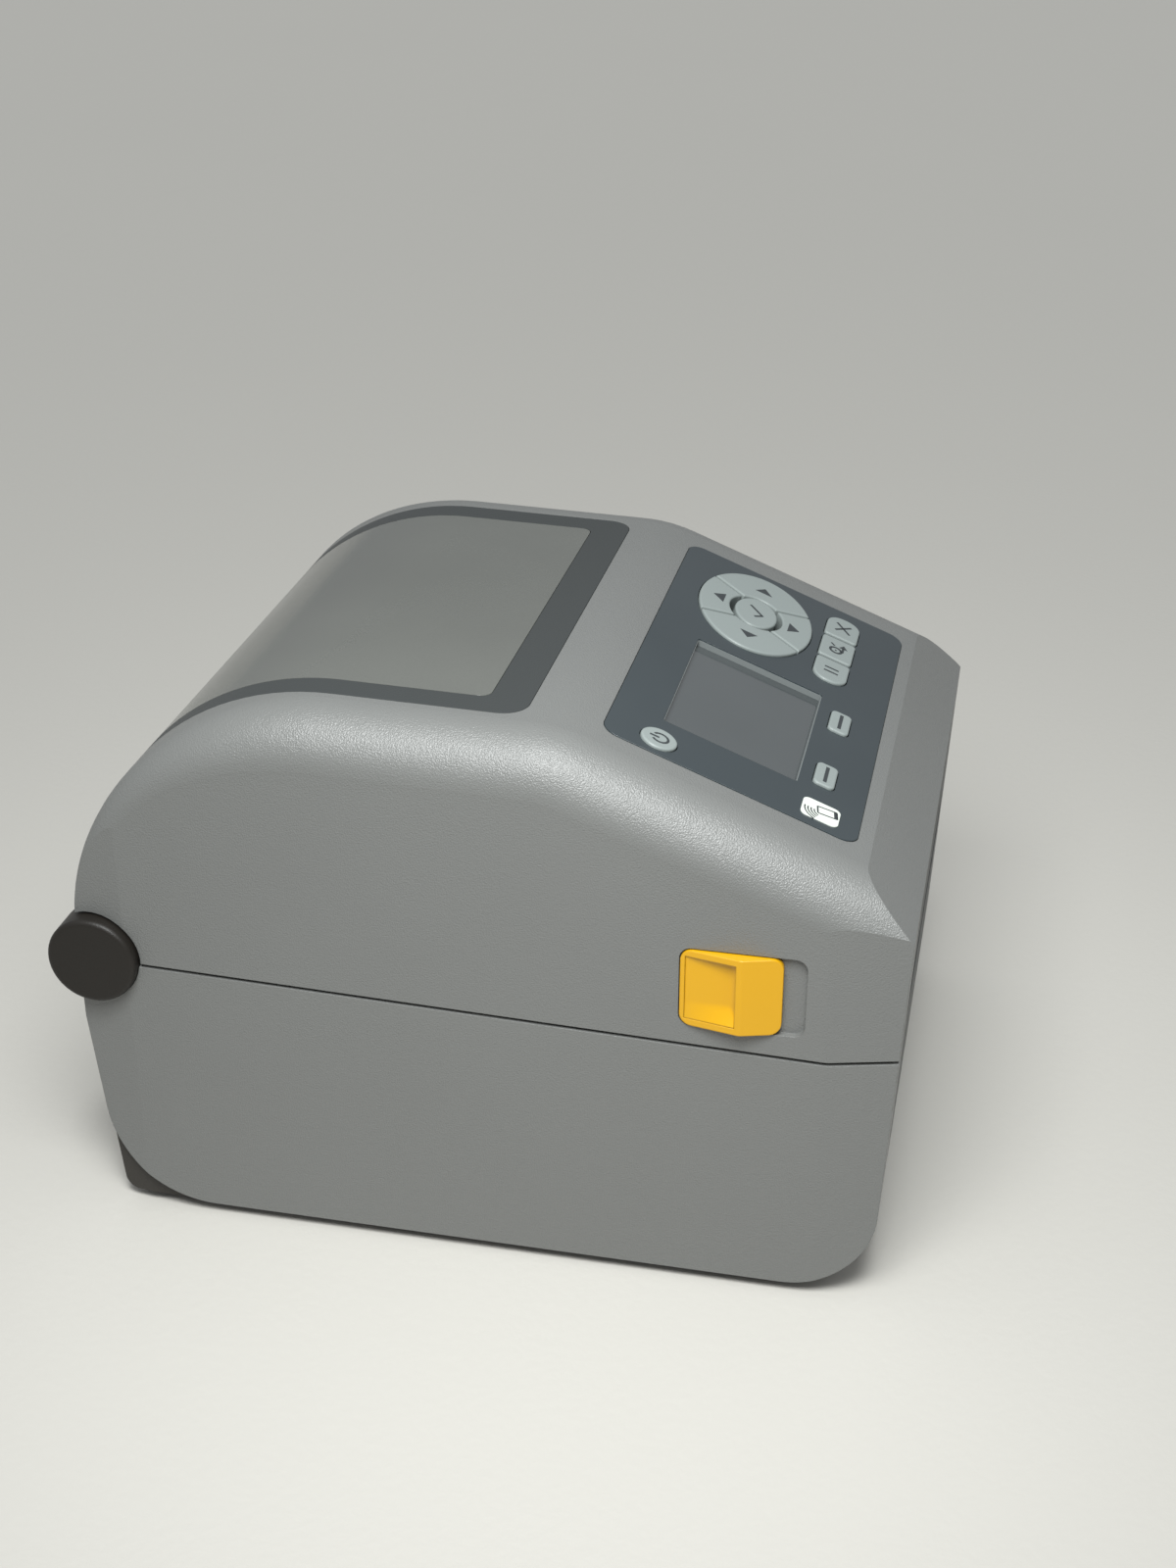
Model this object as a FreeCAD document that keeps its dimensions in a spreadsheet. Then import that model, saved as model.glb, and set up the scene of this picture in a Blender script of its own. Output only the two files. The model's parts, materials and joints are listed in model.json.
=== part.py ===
import FreeCAD, Part
import Sketcher
import math
import os
import re

# Desktop four-inch label printer.  Millimetres, +Z up, front towards -Y, the origin on the table
# under the middle of the overall box.  "Left" is the user's left, -X.

doc = FreeCAD.newDocument("label_printer")
dims = doc.addObject("Spreadsheet::Sheet", "Dims")
working = doc.addObject("Spreadsheet::Sheet", "Working")
sizes = {}


def size(name, value):
    row = len(sizes) + 1
    dims.set("A%d" % row, name)
    dims.set("B%d" % row, str(value))
    dims.setAlias("B%d" % row, name)
    sizes[name] = value


# Case outline, seen from the side
size("half_width", 85.5)
size("end_taper", 2)
size("end_half_width", "=half_width - end_taper")
size("taper_front_y", -90.5)
size("taper_rear_y", 90)
size("foot_height", 3)
size("plinth_drop", 0.3)
size("toe_y", -105.4)
size("nose_y", -110.5)
size("nose_z", 106.3)
size("brow_y", -97.5)
size("slope_angle", 21.55)
size("panel_rear_y", -30.6)
size("panel_rear_z", 146.2)
size("crown_y", 38)
size("crown_z", 85)
size("crown_radius", 66)
size("roof_tilt", 1.5)
size("waist_z", 60)
size("heel_y", 97.5)
size("ridge_radius", 45)
size("toe_radius", 24)
size("heel_radius", 30)
size("plinth_heel_radius", 4)
size("shoulder_radius", 14)
size("wall", 2.6)
size("back_edge_inside", 0.4)
size("back_edge_radius", "=wall + back_edge_inside")
size("skin", 1.8)
size("front_skin", 3)
size("floor_thickness", 2.6)
# Corners that follow from the sizes above
size("back_y", "=crown_y + crown_radius")
size("brow_z", "=panel_rear_z + (brow_y - panel_rear_y) * tan(slope_angle)")
size("roof_corner_z", "=crown_z + crown_radius / cos(roof_tilt) + crown_radius * tan(roof_tilt)")
size("roof_at_zero", "=roof_corner_z - back_y * tan(roof_tilt)")
size("slope_at_zero", "=panel_rear_z - panel_rear_y * tan(slope_angle)")
size("ridge_y", "=(roof_at_zero - slope_at_zero) / (tan(slope_angle) - tan(roof_tilt))")
size("ridge_z", "=slope_at_zero + ridge_y * tan(slope_angle)")
# Split between base and cover
size("split_kink_y", -91.8)
size("split_kink_z", 71.2)
size("split_front_slope", 0.11)
size("split_rear_slope", 0.0294)
size("split_gap", 1)
# Hinge
size("hinge_y", 98.5)
size("hinge_z", 77.5)
size("cap_radius", 12)
size("cap_proud", 3)
size("cap_face", "=half_width + cap_proud")
size("cap_depth", 10.5)
size("cap_inner", "=cap_face - cap_depth")
size("cap_rim", 1.4)
size("cap_clearance", 0.6)
size("barrel_radius", 5)
size("barrel_half", 70)
size("pin_radius", 3)
size("running_gap", 0.05)
size("ear_radius", 6)
size("rear_lip_drop", 6)
size("rear_lip_rise", 5)
# Window frame and window
size("frame_half", 68.9)
size("frame_front_y", -12.3)
size("frame_foot_z", 84)
size("frame_corner", 7)
size("window_half", 60.5)
size("window_front_y", -1.9)
size("window_foot_z", 98)
size("window_corner", 3)
size("window_thickness", 1.6)
size("window_ledge", 3)
size("seam", 0.15)
# Front bezels
size("bezel_half", 60)
size("bezel_top_z", 104)
size("bezel_foot_z", 6)
size("exit_half", 57)
size("exit_floor_z", 69.5)
size("exit_roof_z", 79)
size("reach", 150)
size("joint", 0.1)
# Control panel, drawn flat: x across, y up the slope from the panel's rear edge, z out of it
size("panel_half", 64.9)
size("panel_length", 67.9)
size("panel_corner", 4.5)
size("panel_proud", 0.2)
size("fascia", 1.6)
size("panel_ledge", 1.6)
size("screen_left", -46.9)
size("screen_right", 6.1)
size("screen_top", -13)
size("screen_bottom", -49.7)
size("screen_border", 2)
size("board_depth", 6.6)
size("board_thickness", 1.6)
size("board_half", 60)
size("membrane", 1)
size("key_gap", 0.25)
size("key_proud", 0.9)
size("key_travel", 0.8)
size("key_flange", 0.45)
size("key_edge", 0.5)
size("pad_x", 36.6)
size("pad_y", -25)
size("pad_across", 24.4)
size("pad_up", 17)
size("ok_across", 9)
size("ok_up", 6.3)
size("ok_ring_across", 0.7)
size("ok_ring_up", 1.7)
size("split_half", 4.5)
size("split_lean", 0.53)
size("pad_slot", 0.57)
size("row_y", -50)
size("row_up", 10)
size("row_end_radius", 4.5)
size("row_inner_radius", 1)
size("row_pitch", 15)
size("row_key", 13.4)
size("row_x", 36.9)
size("select_y", -56.2)
size("select_across", 11.5)
size("select_up", 5.8)
size("select_radius", 1.5)
size("left_select_x", -38.1)
size("right_select_x", -6.3)
size("power_x", -57.8)
size("power_y", -13.9)
size("power_radius", 4.8)
size("badge_x", -57)
size("badge_y", -57.3)
size("badge_across", 9)
size("badge_up", 10)
size("badge_radius", 1.8)
size("badge_thickness", 0.25)
# Release latches
size("latch_front_y", -80)
size("latch_rear_y", -54.8)
size("latch_low_z", 78.4)
size("latch_high_z", 99.6)
size("latch_corner", 3)
size("latch_travel", 5.5)
size("latch_gap", 0.3)
size("latch_proud", 2.9)
size("latch_ridge", "=half_width + latch_proud")
size("latch_ridge_y", -70)
size("latch_edge", "=half_width + 0.1")
size("latch_recess", 1.6)
size("latch_seat_gap", 0.1)
size("latch_root_gap", 0.4)
size("latch_root", "=half_width - wall - latch_root_gap")
size("stem_front_y", -73.8)
size("stem_rear_y", -61)
size("stem_inset_z", 3.5)
size("latch_flange", 1.9)
size("latch_flange_in", "=latch_root - latch_flange")
size("latch_flange_lap", 2.2)
size("scoop_wall", 1.8)
size("scoop_rear_y", -56)
size("scoop_front_y", -68.8)
size("scoop_rear_out", "=half_width - 0.1")
size("scoop_front_out", "=half_width - 0.8")
size("hook_thickness", 1.6)
size("hook_in", "=latch_flange_in - hook_thickness")
size("hook_foot_z", 58)
size("hook_height", 3)
size("hook_front_y", -72)
size("hook_rear_y", -62)
size("hook_tip_y", -57.5)
size("catch_gap", 0.4)
size("catch_low_z", 62)
size("catch_high_z", 66)
size("catch_rear_y", -50)
# Cover frame and print head
size("rail_in", 72)
size("rail_out", 76)
size("ear_in", 71)
size("ear_out", 77)
size("beam_front_y", -90)
size("beam_rear_y", -78)
size("beam_low_z", 92)
size("beam_high_z", 104)
size("head_pin_y", -78)
size("head_pin_z", 88)
size("head_pin_radius", 2)
size("head_half", 56)
size("head_gap", 0.3)
size("head_plate", 1.8)
size("head_sink", 4.9)
size("head_front_y", -98)
size("head_rear_y", -79)
size("head_bracket_half", 62)
size("head_bracket", 1.5)
size("head_lug_in", 64)
size("head_lug_out", 67)
size("head_spring_x", 35)
size("head_spring_y", -86)
size("head_spring_radius", 3)
size("head_spring_wire", 0.4)
size("head_spring_gap", 0.6)
size("head_spring_pitch", 2.3)
# Platen drive
size("platen_y", -90)
size("platen_z", 64)
size("platen_radius", 8.5)
size("platen_half", 56)
size("shaft_radius", 3)
size("shaft_left", -72)
size("shaft_right", 78)
size("tooth_module", 1)
size("platen_teeth", 20)
size("idler_teeth", 24)
size("pinion_teeth", 12)
size("idler_angle", -48)
size("pinion_angle", -30)
size("gear_in", 71.5)
size("gear_out", 76)
size("stud_radius", 2)
size("motor_shaft_radius", 2.5)
size("plate_in", 68)
size("plate_out", 69.5)
size("bush_radius", 6)
size("motor_size", 35)
size("motor_length", 26)
size("motor_corner", 4)
size("motor_boss", 8)
size("motor_screw_reach", 13)
size("idler_y", "=platen_y + (platen_teeth + idler_teeth) * tooth_module / 2 * cos(idler_angle)")
size("idler_z", "=platen_z + (platen_teeth + idler_teeth) * tooth_module / 2 * sin(idler_angle)")
size("motor_y", "=idler_y + (idler_teeth + pinion_teeth) * tooth_module / 2 * cos(pinion_angle)")
size("motor_z", "=idler_z + (idler_teeth + pinion_teeth) * tooth_module / 2 * sin(pinion_angle)")
# Roll bay
size("roll_y", 38)
size("roll_z", 83)
size("trough_radius", 65)
size("trough_wall", 2)
size("trough_half", 64)
size("bay_front_y", -27)
size("bay_rear_y", 98)
size("bay_top_z", 70)
size("deck_front_y", -78)
size("deck_low_z", 60)
size("deck_high_z", 62)
size("holder_x", 57)
size("holder_plate", 3)
size("holder_radius", 16)
size("holder_hub", 12)
size("holder_hub_length", 8)
size("holder_half_y", 12)
size("holder_travel", 38)
size("stem_near", 5)
size("stem_far", 11)
size("rack_teeth_radius", 8)
size("rack_low_z", 12.6)
size("rack_high_z", 15.6)
size("rack_reach", 22)
size("rack_pinion_teeth", 16)
size("sensor_y", -50)
size("sensor_half", 6)
size("sensor_travel", 36)
# Base details
size("floor_z", "=foot_height - plinth_drop + floor_thickness")
size("pcb_low_z", 7.4)
size("pcb_high_z", 9)
size("pcb_half", 62)
size("pcb_front_y", -34)
size("pcb_rear_y", 94)
size("socket_front_y", 82)
size("socket_rear_y", 97.6)
size("socket_gap", 0.4)
size("dc_power_jack_left", -61)
size("dc_power_jack_right", -49)
size("dc_power_jack_top", 20)
size("usb_device_port_left", -44)
size("usb_device_port_right", -32)
size("usb_device_port_top", 20)
size("usb_host_port_left", -27)
size("usb_host_port_right", -13)
size("usb_host_port_top", 15.8)
size("ethernet_port_left", -6)
size("ethernet_port_right", 10.2)
size("ethernet_port_top", 22.5)
size("serial_port_left", 20)
size("serial_port_right", 51)
size("serial_port_top", 21.5)
size("fanfold_half", 56)
size("fanfold_low_z", 64)
size("fanfold_high_z", 68.8)
size("foot_x", 60)
size("foot_front_y", -70)
size("foot_rear_y", 80)
size("foot_radius", 7)
size("foot_plug", 5)
size("tear_front_y", -107)
size("tear_lap", 0.5)
size("tear_rear_y", "=platen_y - platen_radius + tear_lap")
size("tear_thickness", 1.4)
size("screw_x", 73)
size("screw_front_y", -30)
size("screw_rear_y", 62)


def bind(text):
    return re.sub(r"[a-z_][a-z0-9_]*", lambda word: ("Dims." if word.group(0) in sizes else "") + word.group(0), str(text))


def number(name):
    return float(dims.get(name))


def placed(shape, x="0", y="0", z="0"):
    shape.setExpression("Placement.Base.x", bind(x))
    shape.setExpression("Placement.Base.y", bind(y))
    shape.setExpression("Placement.Base.z", bind(z))
    return shape


def prism(name, plane, corners, start, stop):
    """Closed outline drawn on one origin plane and padded from start to stop across it."""
    body = doc.addObject("PartDesign::Body", name)
    sketch = body.newObject("Sketcher::SketchObject", name + "_outline")
    support = [feature for feature in body.Origin.OriginFeatures if feature.Role == plane][0]
    sketch.AttachmentSupport = [(support, "")]
    sketch.MapMode = "FlatFace"
    count = len(corners)
    for index in range(count):
        first = 2 * math.pi * index / count
        second = 2 * math.pi * (index + 1) / count
        sketch.addGeometry(Part.LineSegment(
            FreeCAD.Vector(50 * math.cos(first), 50 * math.sin(first), 0),
            FreeCAD.Vector(50 * math.cos(second), 50 * math.sin(second), 0)))
    for index in range(count):
        sketch.addConstraint(Sketcher.Constraint("Coincident", index, 2, (index + 1) % count, 1))
    for index, (across, up) in enumerate(corners):
        for kind, text in (("DistanceX", across), ("DistanceY", up)):
            number_of = sketch.addConstraint(Sketcher.Constraint(kind, index, 1, 1.0))
            sketch.setExpression("Constraints[%d]" % number_of, bind(text))
    pad = body.newObject("PartDesign::Pad", name + "_pad")
    pad.Profile = sketch
    pad.setExpression("Length", bind("(%s) - (%s)" % (stop, start)))
    body.Tip = pad
    if plane == "YZ_Plane":
        placed(body, x=start)
    else:
        placed(body, z=start)
    return body


def rounded_body(body, radius, chosen):
    """Fillet the chosen edges of a body's last feature with one radius from the sheet."""
    doc.recompute()
    tip = body.Tip
    names = []
    for index, edge in enumerate(tip.Shape.Edges):
        if chosen(edge):
            names.append("Edge%d" % (index + 1))
    fillet = body.newObject("PartDesign::Fillet", body.Name + "_round")
    fillet.Base = (tip, names)
    fillet.setExpression("Radius", bind(radius))
    body.Tip = fillet
    doc.recompute()
    return body


def across_at(y, z):
    """Chooses the edge that runs across the case through one corner of the side outline."""
    def chosen(edge):
        ends = [vertex.Point for vertex in edge.Vertexes]
        return len(ends) == 2 and all(abs(p.y - y) < 0.05 and abs(p.z - z) < 0.05 for p in ends)
    return chosen


def shoulder_rounded(body, broad, tight):
    """Round both top edges broadly as far as the crown, fading to a tight round down the back."""
    doc.recompute()
    working.set("A1", "=" + bind(broad))
    working.set("A2", "=" + bind(tight))
    working.recompute()
    wide = float(working.get("A1"))
    close = float(working.get("A2"))
    faces_x = (body.Shape.BoundBox.XMin, body.Shape.BoundBox.XMax)
    crown_foot = number("crown_z") - 0.1
    back_foot = number("waist_z") - 0.1
    edges = []
    for index, edge in enumerate(body.Shape.Edges):
        box = edge.BoundBox
        on_side = min(abs(edge.CenterOfMass.x - face_x) for face_x in faces_x) < 0.01
        if not on_side or box.ZMin < back_foot or box.YMax <= number("brow_y") + number("wall"):
            continue
        if box.ZMin < crown_foot:
            edges.append((index + 1, close, close))
        elif box.YMax > number("crown_y") + number("wall"):
            falls = edge.Vertexes[0].Point.z > edge.Vertexes[-1].Point.z
            edges.append((index + 1, wide if falls else close, close if falls else wide))
        else:
            edges.append((index + 1, wide, wide))
    solid = doc.addObject("Part::Fillet", body.Name + "_shoulder")
    solid.Base = body
    solid.Edges = edges
    doc.recompute()
    return solid


def shell_outline(name, front, inset, floor_z, plan_inset, toe, heel, shoulder,
                  back_edge):
    """The case envelope: a side outline padded across and trimmed by the tapering plan."""
    side = "half_width - (%s)" % plan_inset
    outline = [
        ("toe_y + (%s)" % front, floor_z),
        ("nose_y + (%s)" % front, "nose_z - 0.435 * (%s)" % inset),
        ("brow_y + 0.57 * (%s)" % inset, "brow_z - 0.85 * (%s)" % inset),
        ("ridge_y + 0.203 * (%s)" % inset, "ridge_z - 0.995 * (%s)" % inset),
        ("back_y - (%s)" % inset, "roof_corner_z - 1.0266 * (%s)" % inset),
        ("back_y - (%s)" % inset, "waist_z"),
        ("heel_y - (%s)" % inset, floor_z),
    ]
    body = prism(name + "_side", "YZ_Plane", outline, "-(%s)" % side, side)
    doc.recompute()
    corner = {}
    for vertex in body.Shape.Vertexes:
        corner[(round(vertex.Point.y, 3), round(vertex.Point.z, 3))] = vertex.Point
    ordered = sorted(corner.values(), key=lambda p: p.z)
    low = sorted(ordered[:2], key=lambda p: p.y)
    high = sorted(ordered[-2:], key=lambda p: p.y)
    rounded_body(body, toe, across_at(low[0].y, low[0].z))
    rounded_body(body, heel, across_at(low[1].y, low[1].z))
    rounded_body(body, "ridge_radius - (%s)" % inset, across_at(high[0].y, high[0].z))
    rounded_body(body, "crown_radius - (%s)" % inset, across_at(high[1].y, high[1].z))
    side_body = shoulder_rounded(body, shoulder, back_edge) if shoulder else body
    plan_side = [
        ("half_width - (%s)" % plan_inset, "taper_front_y"),
        ("half_width - (%s)" % plan_inset, "taper_rear_y"),
        ("end_half_width - (%s)" % plan_inset, "back_y + 1"),
        ("-(end_half_width - (%s))" % plan_inset, "back_y + 1"),
        ("-(half_width - (%s))" % plan_inset, "taper_rear_y"),
        ("-(half_width - (%s))" % plan_inset, "taper_front_y"),
        ("-(end_half_width - (%s))" % plan_inset, "nose_y - 1"),
        ("end_half_width - (%s)" % plan_inset, "nose_y - 1"),
    ]
    plan = prism(name + "_plan", "XY_Plane", plan_side, "0", "2 * crown_z")
    both = doc.addObject("Part::MultiCommon", name)
    both.Shapes = [side_body, plan]
    doc.recompute()
    return both


outer = shell_outline("outer", "0", "0", "foot_height", "0", "toe_radius", "heel_radius", "shoulder_radius",
                      "back_edge_radius")
under_window = shell_outline("under_window", "window_thickness", "window_thickness",
                             "foot_height + window_thickness", "window_thickness",
                             "toe_radius - window_thickness", "heel_radius - window_thickness",
                             "shoulder_radius - window_thickness", "back_edge_radius - window_thickness")
inner = shell_outline("inner", "wall", "wall", "foot_height + wall", "wall", "toe_radius - wall",
                      "heel_radius - wall", "shoulder_radius - wall", "back_edge_radius - wall")
plinth = shell_outline("plinth", "front_skin", "0", "foot_height - plinth_drop", "skin",
                       "toe_radius - front_skin", "plinth_heel_radius", "", "")
hollow = shell_outline("hollow", "front_skin + wall", "wall", "foot_height - plinth_drop + floor_thickness",
                       "skin + wall", "toe_radius - front_skin - wall", "plinth_heel_radius - wall", "", "")


def box(name, x0, x1, y0, y1, z0, z1):
    solid = doc.addObject("Part::Box", name)
    solid.setExpression("Length", bind("(%s) - (%s)" % (x1, x0)))
    solid.setExpression("Width", bind("(%s) - (%s)" % (y1, y0)))
    solid.setExpression("Height", bind("(%s) - (%s)" % (z1, z0)))
    return placed(solid, x0, y0, z0)


def mirrored_box(name, side, inner_x, outer_x, y0, y1, z0, z1):
    if side > 0:
        return box(name, inner_x, outer_x, y0, y1, z0, z1)
    return box(name, "-(%s)" % outer_x, "-(%s)" % inner_x, y0, y1, z0, z1)


def rod(name, direction, x, y, z, radius, length):
    solid = doc.addObject("Part::Cylinder", name)
    turns = {
        "X": FreeCAD.Rotation(FreeCAD.Vector(0, 1, 0), 90),
        "Y": FreeCAD.Rotation(FreeCAD.Vector(1, 0, 0), -90),
        "Z": FreeCAD.Rotation(),
    }
    solid.Placement = FreeCAD.Placement(FreeCAD.Vector(), turns[direction])
    solid.setExpression("Radius", bind(radius))
    solid.setExpression("Height", bind(length))
    return placed(solid, x, y, z)


def mirrored_rod(name, side, inner_x, outer_x, y, z, radius):
    start = inner_x if side > 0 else "-(%s)" % outer_x
    return rod(name, "X", start, y, z, radius, "(%s) - (%s)" % (outer_x, inner_x))


def joined(name, *parts):
    solid = doc.addObject("Part::MultiFuse", name)
    solid.Shapes = list(parts)
    solid.Refine = True
    return solid


def overlap(name, *parts):
    solid = doc.addObject("Part::MultiCommon", name)
    solid.Shapes = list(parts)
    return solid


def without(name, base, *tools):
    solid = doc.addObject("Part::Cut", name)
    solid.Base = base
    solid.Tool = tools[0] if len(tools) == 1 else joined(name + "_tools", *tools)
    solid.Refine = True
    return solid


def softened(name, base, radius, chosen):
    """Round the chosen edges of a solid; radius is a size name or an expression of sizes."""
    doc.recompute()
    working.set("A1", "=" + bind(radius))
    working.recompute()
    value = float(working.get("A1"))
    edges = [(index + 1, value, value) for index, edge in enumerate(base.Shape.Edges) if chosen(edge)]
    solid = doc.addObject("Part::Fillet", name)
    solid.Base = base
    solid.Edges = edges
    doc.recompute()
    return solid


def runs(axis, test=None):
    """Chooses straight edges along one axis, optionally only where test(middle) holds."""
    def chosen(edge):
        extent = edge.BoundBox
        lengths = {"x": extent.XLength, "y": extent.YLength, "z": extent.ZLength}
        others = [lengths[key] for key in lengths if key != axis]
        return lengths[axis] > 0.1 and max(others) < 0.001 and (test is None or test(edge.CenterOfMass))
    return chosen


def top_rim(edge_list_height):
    def chosen(edge):
        return edge.BoundBox.ZLength < 0.001 and abs(edge.CenterOfMass.z - edge_list_height) < 0.001
    return chosen


def oval(name, x, y, across, up, low, high):
    """Flat oval pushed up from low to high."""
    ring = doc.addObject("Part::Ellipse", name + "_ring")
    ring.setExpression("MajorRadius", bind(across))
    ring.setExpression("MinorRadius", bind(up))
    placed(ring, x, y, low)
    solid = doc.addObject("Part::Extrusion", name)
    solid.Base = ring
    solid.DirMode = "Custom"
    solid.Dir = FreeCAD.Vector(0, 0, 1)
    solid.Solid = True
    solid.setExpression("LengthFwd", bind("(%s) - (%s)" % (high, low)))
    return solid


def on_panel(solid):
    """Carry a piece drawn flat onto the sloping panel."""
    carried = doc.addObject("Part::Compound", solid.Name + "_on_panel")
    solid.Label = solid.Name + "_flat"
    carried.Links = [solid]
    carried.Placement = FreeCAD.Placement(FreeCAD.Vector(0, 1, 1), FreeCAD.Rotation(FreeCAD.Vector(1, 0, 0), 10))
    carried.setExpression("Placement.Rotation.Angle", bind("slope_angle"))
    return placed(carried, "0", "panel_rear_y", "panel_rear_z")


nodes = []


def node(solid, name):
    solid.Label = name
    nodes.append(solid)
    return solid


# Cutting zones above and below the split, half the gap away from it
split_front = "split_kink_z + split_front_slope * (reach + split_kink_y)"
split_rear = "split_kink_z + split_rear_slope * (reach - split_kink_y)"
above = prism("above_split", "YZ_Plane", [
    ("-reach", split_front + " + split_gap / 2"), ("split_kink_y", "split_kink_z + split_gap / 2"),
    ("reach", split_rear + " + split_gap / 2"), ("reach", "2 * reach"), ("-reach", "2 * reach")],
    "-reach", "reach")
below = prism("below_split", "YZ_Plane", [
    ("-reach", "-reach"), ("reach", "-reach"), ("reach", split_rear + " - split_gap / 2"),
    ("split_kink_y", "split_kink_z - split_gap / 2"), ("-reach", split_front + " - split_gap / 2")],
    "-reach", "reach")


def plan_zone(name, half, front, corner, low):
    """Upright block open to the rear with rounded front corners."""
    block = box(name + "_block", "-(%s)" % half, half, front, "reach", low, "2 * reach")
    doc.recompute()
    start = block.Shape.BoundBox.YMin
    return softened(name, block, corner, runs("z", lambda middle: middle.y < start + 0.01))


skin_all = without("case_skin", outer, inner)
window_room = shell_outline("window_room", "window_thickness + joint", "window_thickness + joint",
                            "foot_height + window_thickness", "window_thickness + joint",
                            "toe_radius - window_thickness", "heel_radius - window_thickness",
                            "shoulder_radius - window_thickness - joint",
                            "back_edge_radius - window_thickness - joint")
inner_room = shell_outline("inner_room", "wall + joint", "wall + joint", "foot_height + wall", "wall + joint",
                           "toe_radius - wall", "heel_radius - wall", "shoulder_radius - wall - joint",
                           "back_edge_radius - wall - joint")
plinth_room = shell_outline("plinth_room", "front_skin - joint", "-joint", "foot_height - plinth_drop - joint",
                            "skin - joint", "toe_radius - front_skin", "plinth_heel_radius", "", "")

# Window frame and window
frame_hole = plan_zone("frame_hole", "frame_half + seam", "frame_front_y - seam", "frame_corner", "0")
frame_zone = plan_zone("frame_zone", "frame_half", "frame_front_y", "frame_corner", "frame_foot_z")
window_hole = plan_zone("window_hole", "window_half", "window_front_y", "window_corner", "window_foot_z")
window_zone = plan_zone("window_zone", "window_half - seam", "window_front_y + seam", "window_corner",
                        "window_foot_z + seam")
sight_hole = plan_zone("sight_hole", "window_half - window_ledge", "window_front_y + window_ledge",
                       "window_corner", "window_foot_z + window_ledge")
window_seat = without("window_seat", window_hole, window_room)
node(without("window_frame", overlap("frame_skin", skin_all, frame_zone), window_seat, sight_hole), "window_frame")
node(without("media_window", overlap("window_blank", outer, window_zone), under_window), "media_window")

# Control panel seat, cut square to the slope
panel_seat_block = box("panel_seat_block", "-(panel_half + seam)", "panel_half + seam",
                       "-(panel_length + seam)", "seam", "-fascia", "10")
panel_seat = on_panel(softened("panel_seat", panel_seat_block, "panel_corner + seam", runs("z")))
panel_hole = on_panel(box("panel_hole", "-(panel_half - panel_ledge)", "panel_half - panel_ledge",
                          "-(panel_length - panel_ledge)", "-panel_ledge", "-20", "10"))

# Cover shell
cuts = [frame_hole, panel_seat, panel_hole]
cuts.append(box("cover_bezel_hole", "-(bezel_half + seam)", "bezel_half + seam", "-reach", "brow_y - 2",
                "0", "bezel_top_z + seam"))
cuts.append(box("rear_lip_hole", "-(cap_inner - cap_clearance)", "cap_inner - cap_clearance",
                "hinge_y - cap_radius", "reach", "0", "hinge_z + rear_lip_rise"))
adds = []
for side, word in ((-1, "left"), (1, "right")):
    cuts.append(mirrored_rod("cover_cap_hole_" + word, side, "cap_inner - cap_clearance", "reach",
                             "hinge_y", "hinge_z", "cap_radius + cap_clearance"))
    slot = mirrored_box("latch_slot_block_" + word, side, "half_width - latch_recess", "reach",
                        "latch_front_y - latch_travel - latch_gap", "latch_rear_y + latch_gap",
                        "latch_low_z - latch_gap", "latch_high_z + latch_gap")
    cuts.append(softened("latch_slot_" + word, slot, "latch_corner", runs("x")))
    cuts.append(mirrored_box("stem_slot_" + word, side, "latch_flange_in", "reach",
                             "stem_front_y - latch_travel - latch_gap", "stem_rear_y + latch_gap",
                             "latch_low_z + stem_inset_z - latch_gap", "latch_high_z - stem_inset_z + latch_gap"))
    flange_low = "latch_low_z - latch_flange_lap"
    flange_high = "latch_high_z + latch_flange_lap"
    adds.append(mirrored_box("latch_rail_low_" + word, side, "latch_flange_in + latch_gap", "half_width - wall / 2",
                             "taper_front_y", "catch_rear_y", flange_low + " - latch_gap - wall",
                             flange_low + " - latch_gap"))
    adds.append(mirrored_box("latch_rail_high_" + word, side, "rail_out + 1", "half_width - wall / 2",
                             "taper_front_y", "catch_rear_y", flange_high + " + latch_gap",
                             flange_high + " + latch_gap + wall"))
    for place, boss_y in (("front", "screw_front_y + 10"), ("rear", "screw_rear_y + 3")):
        boss = rod("cover_boss_%s_%s" % (place, word), "Z", "%d * (rail_out + 3.6)" % side, boss_y,
                   "beam_low_z + 8", "wall + 0.6", "reach")
        boss_in = overlap("cover_boss_%s_%s_in" % (place, word), boss, outer)
        adds.append(boss_in)
        cuts.append(rod("cover_boss_bore_%s_%s" % (place, word), "Z", "%d * (rail_out + 3.6)" % side, boss_y,
                        "beam_low_z + 7", "1.4", "9"))
cover_blank = overlap("cover_blank", joined("cover_parts", skin_all, *adds), above)
node(without("top_cover", cover_blank, *cuts), "top_cover")

# Front bezels on the cover and on the base
cover_bezel_zone = box("cover_bezel_zone", "-bezel_half", "bezel_half", "-reach", "brow_y - 2", "0", "bezel_top_z")
exit_upper = box("exit_upper", "-exit_half", "exit_half", "-reach", "brow_y", "0", "exit_roof_z")
node(without("cover_front_bezel", overlap("cover_bezel_skin", skin_all, cover_bezel_zone, above), exit_upper),
     "cover_front_bezel")
exit_lower = box("exit_lower", "-exit_half", "exit_half", "-reach", "brow_y + 3", "exit_floor_z", "reach")
front_zone = box("front_zone", "-(bezel_half - seam)", "bezel_half - seam", "-reach", "brow_y + 20",
                 "bezel_foot_z", "reach")
node(without("front_bezel", overlap("front_bezel_blank", outer, below, front_zone), plinth_room, exit_lower), "front_bezel")

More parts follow.
